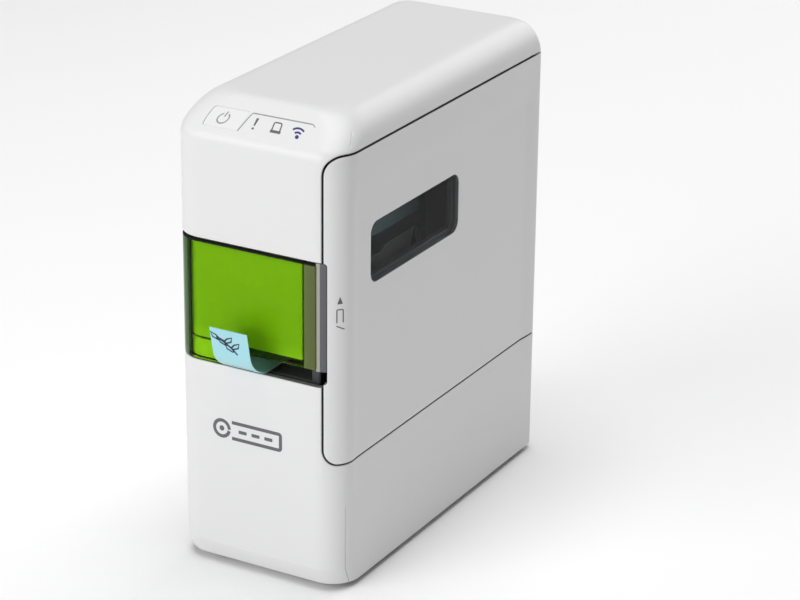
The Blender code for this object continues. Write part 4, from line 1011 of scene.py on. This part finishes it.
def make_cassette_face():
    """The cassette's label behind the side window: a dark field, a teal band and a pale wedge."""
    face = CASSETTE[1][0] + 0.3
    low, high = CASSETTE_LABEL
    field = rectangle((low[1], 70.0), (high[1], high[2]), 1.0)
    band = [(PRINT_Y, 87.2), (21.0, 87.2), (22.4, 88.6), (22.2, 96.0), (PRINT_Y, 96.0)]
    wedge = [(PRINT_Y, 71.0), (14.8, 71.0), (19.1, 83.2), (2.5, 83.0), (-1.2, 81.4), (PRINT_Y, 80.6)]
    chip = [(20.4, 77.6), (23.3, 78.0), (20.4, 84.0)]
    shapes = {
        "cassette_sticker": ("sticker_dark", 0.0, field),
        "cassette_teal_band": ("teal_print", PAPER, band),
        "cassette_pale_wedge": ("pale_print", PAPER, wedge),
        "cassette_pale_chip": ("pale_print", PAPER, chip),
    }
    stand_up = Matrix(((0, 0, 1, 0), (1, 0, 0, 0), (0, 1, 0, 0), (0, 0, 0, 1)))
    for name, (material, step, outline) in shapes.items():
        bm = prism(outline, face + step, face + step + PAPER)
        bmesh.ops.transform(bm, matrix=stand_up, verts=bm.verts[:])
        obj = finish_shape(name, bm, material)
        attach(obj, "body")
        if name == "cassette_sticker":
            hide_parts("cassette_label")


# The label


def label_path():
    """The label's line of (y, z), from the slot to its free end."""
    start_y, tape_z = LABEL[1][1], LABEL[0][2]
    reach_y, top_z = LABEL[0][1], LABEL[1][2]
    corners = [(start_y, tape_z + 0.1), (FRONT - 0.5, tape_z + 0.1, LABEL_BEND)]
    corners += [(FRONT - 6.6, tape_z + 4.2, LABEL_CURL), (reach_y + 0.12, top_z - 0.12)]
    return [Vector(point) for point in fillet_path(corners, 14)]


def lay_on_label(bm):
    """Bends a flat sheet of (distance from the free end, x, height above) to the label's curve."""
    path = label_path()[::-1]
    lengths = [0.0]
    for before, after in zip(path, path[1:]):
        lengths.append(lengths[-1] + (after - before).length)
    ys, zs = [p.x for p in path], [p.y for p in path]
    for vertex in bm.verts:
        along, x, above = vertex.co
        y, z = (np.interp(along, lengths, values) for values in (ys, zs))
        ahead = [np.interp(along + 0.2, lengths, values) for values in (ys, zs)]
        behind = [np.interp(along - 0.2, lengths, values) for values in (ys, zs)]
        direction = Vector((ahead[0] - behind[0], ahead[1] - behind[1])).normalized()
        out = Vector((direction.y, -direction.x))
        vertex.co = (x, y + out.x * above, z + out.y * above)
    return bm


def label_piece(name, outlines, material, low, high):
    """A flat shape bent to the label's curve, between two heights above its middle."""
    bm = joined([prism(outline, low, high) for outline in outlines])
    values = [vertex.co.x for vertex in bm.verts]
    slice_flat(bm, "s", spread(min(values), max(values), 0.5)[1:-1])
    obj = finish_shape(name, lay_on_label(bm), material)
    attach(obj, "body")
    return obj


def make_label():
    """The printed label: a thin strip that leaves the slot and curls up and forward."""
    path = label_path()
    length = sum((after - before).length for before, after in zip(path, path[1:]))
    low_x, high_x = LABEL[0][0], LABEL[1][0]
    sheet = rectangle((0.02, low_x), (length, high_x))
    strip = label_piece("printed_label", [sheet], "label_film", -LABEL_HALF, LABEL_HALF)
    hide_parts("label_tape")
    middle = (low_x + high_x) / 2
    sprig = [(u, middle + x) for u, x in arc((16.0, -9.0), 14.0, 128, 32, 12)]
    outlines = [line_outline(sprig, 0.55)]
    for i, (u, x) in enumerate(sprig[2:12:2]):
        side = 1 if i % 2 else -1
        leaf = [(0, 0), (-1.2, side * 1.1), (-1.9, side * 2.8), (-0.4, side * 2.3), (0.3, side * 0.6)]
        outlines.append(line_outline([(u + a, x + b) for a, b in [*leaf, leaf[0]]], 0.5))
    outlines.append(line_outline([(14.2, low_x + 1.2), (14.2, high_x - 1.2)], 0.34))
    motif = label_piece("label_sprig", outlines, "label_ink", 0.05, 0.11)


# The stage


def make_floor():
    """A plain pale floor."""
    nodes = Nodes("floor_white")
    nodes.set(base_color=(0.92, 0.92, 0.92, 1), roughness=0.9)
    nodes.shader.inputs["Specular IOR Level"].default_value = 0.1
    bm = bmesh.new()
    bmesh.ops.create_grid(bm, x_segments=1, y_segments=1, size=4.0)
    floor = new_object("floor", bm)
    floor.data.materials.append(nodes.material)


# Soft lights in metres and watts: where each stands, how wide it is and how strong
LIGHTS = {
    "key_light": ((-0.5, -1.1, 0.62), 0.9, 7.0),
    "front_light": ((-0.1, -1.3, 0.15), 0.8, 4.4),
    "top_light": ((0.0, 0.0, 1.4), 1.0, 10.8),
    "back_light": ((0.2, 1.3, 0.8), 1.0, 6.6),
}
WORLD_STRENGTH = 0.26

# The camera, with its azimuth, elevation and roll in degrees
CAMERA_TARGET = (11.9, 4.85, 65.63)
CAMERA_ANGLES = (29.37, 21.9, 0.62)
CAMERA_AWAY = 803.0
SENSOR_WIDTH = 36.0
LENS = 125.66


def make_light(name, place, size, energy):
    """A round, soft light that faces the object's middle."""
    data = bpy.data.lights.new(name, "AREA")
    data.shape = "DISK"
    data.size = size
    data.energy = energy
    obj = bpy.data.objects.new(name, data)
    obj.location = place
    middle = Vector((0, 0, TOP * MM / 2))
    obj.rotation_euler = (middle - Vector(place)).to_track_quat("-Z", "Y").to_euler()
    bpy.context.scene.collection.objects.link(obj)


def make_lights():
    """A white surround and four soft lights."""
    world = bpy.data.worlds.new("studio")
    world.use_nodes = True
    background = world.node_tree.nodes["Background"]
    background.inputs["Color"].default_value = (1, 1, 1, 1)
    background.inputs["Strength"].default_value = WORLD_STRENGTH
    bpy.context.scene.world = world
    bpy.context.scene.view_settings.view_transform = "Standard"
    for name, (place, size, energy) in LIGHTS.items():
        make_light(name, place, size, energy)


def make_camera():
    """The view from the front right and a little above."""
    target = Vector(CAMERA_TARGET) * MM
    azimuth, elevation, roll = (math.radians(angle) for angle in CAMERA_ANGLES)
    data = bpy.data.cameras.new("camera")
    data.sensor_width = SENSOR_WIDTH
    data.lens = LENS
    camera = bpy.data.objects.new("camera", data)
    flat = math.cos(elevation)
    back = Vector((math.sin(azimuth) * flat, -math.cos(azimuth) * flat, math.sin(elevation)))
    camera.location = target + back * CAMERA_AWAY * MM
    turn = back.to_track_quat("Z", "Y") @ Matrix.Rotation(roll, 3, "Z").to_quaternion()
    camera.rotation_euler = turn.to_euler()
    bpy.context.scene.collection.objects.link(camera)
    bpy.context.scene.camera = camera


def main():
    make_materials()
    dress_cad_nodes()
    make_housing()
    make_cover()
    make_cover_pane()
    make_green_window()
    make_window_backing()
    make_window_liners()
    make_pillar()
    make_power_key()
    make_band_marks()
    make_front_mark()
    make_cover_mark()
    make_cassette_face()
    make_label()
    make_floor()
    make_lights()
    make_camera()


main()
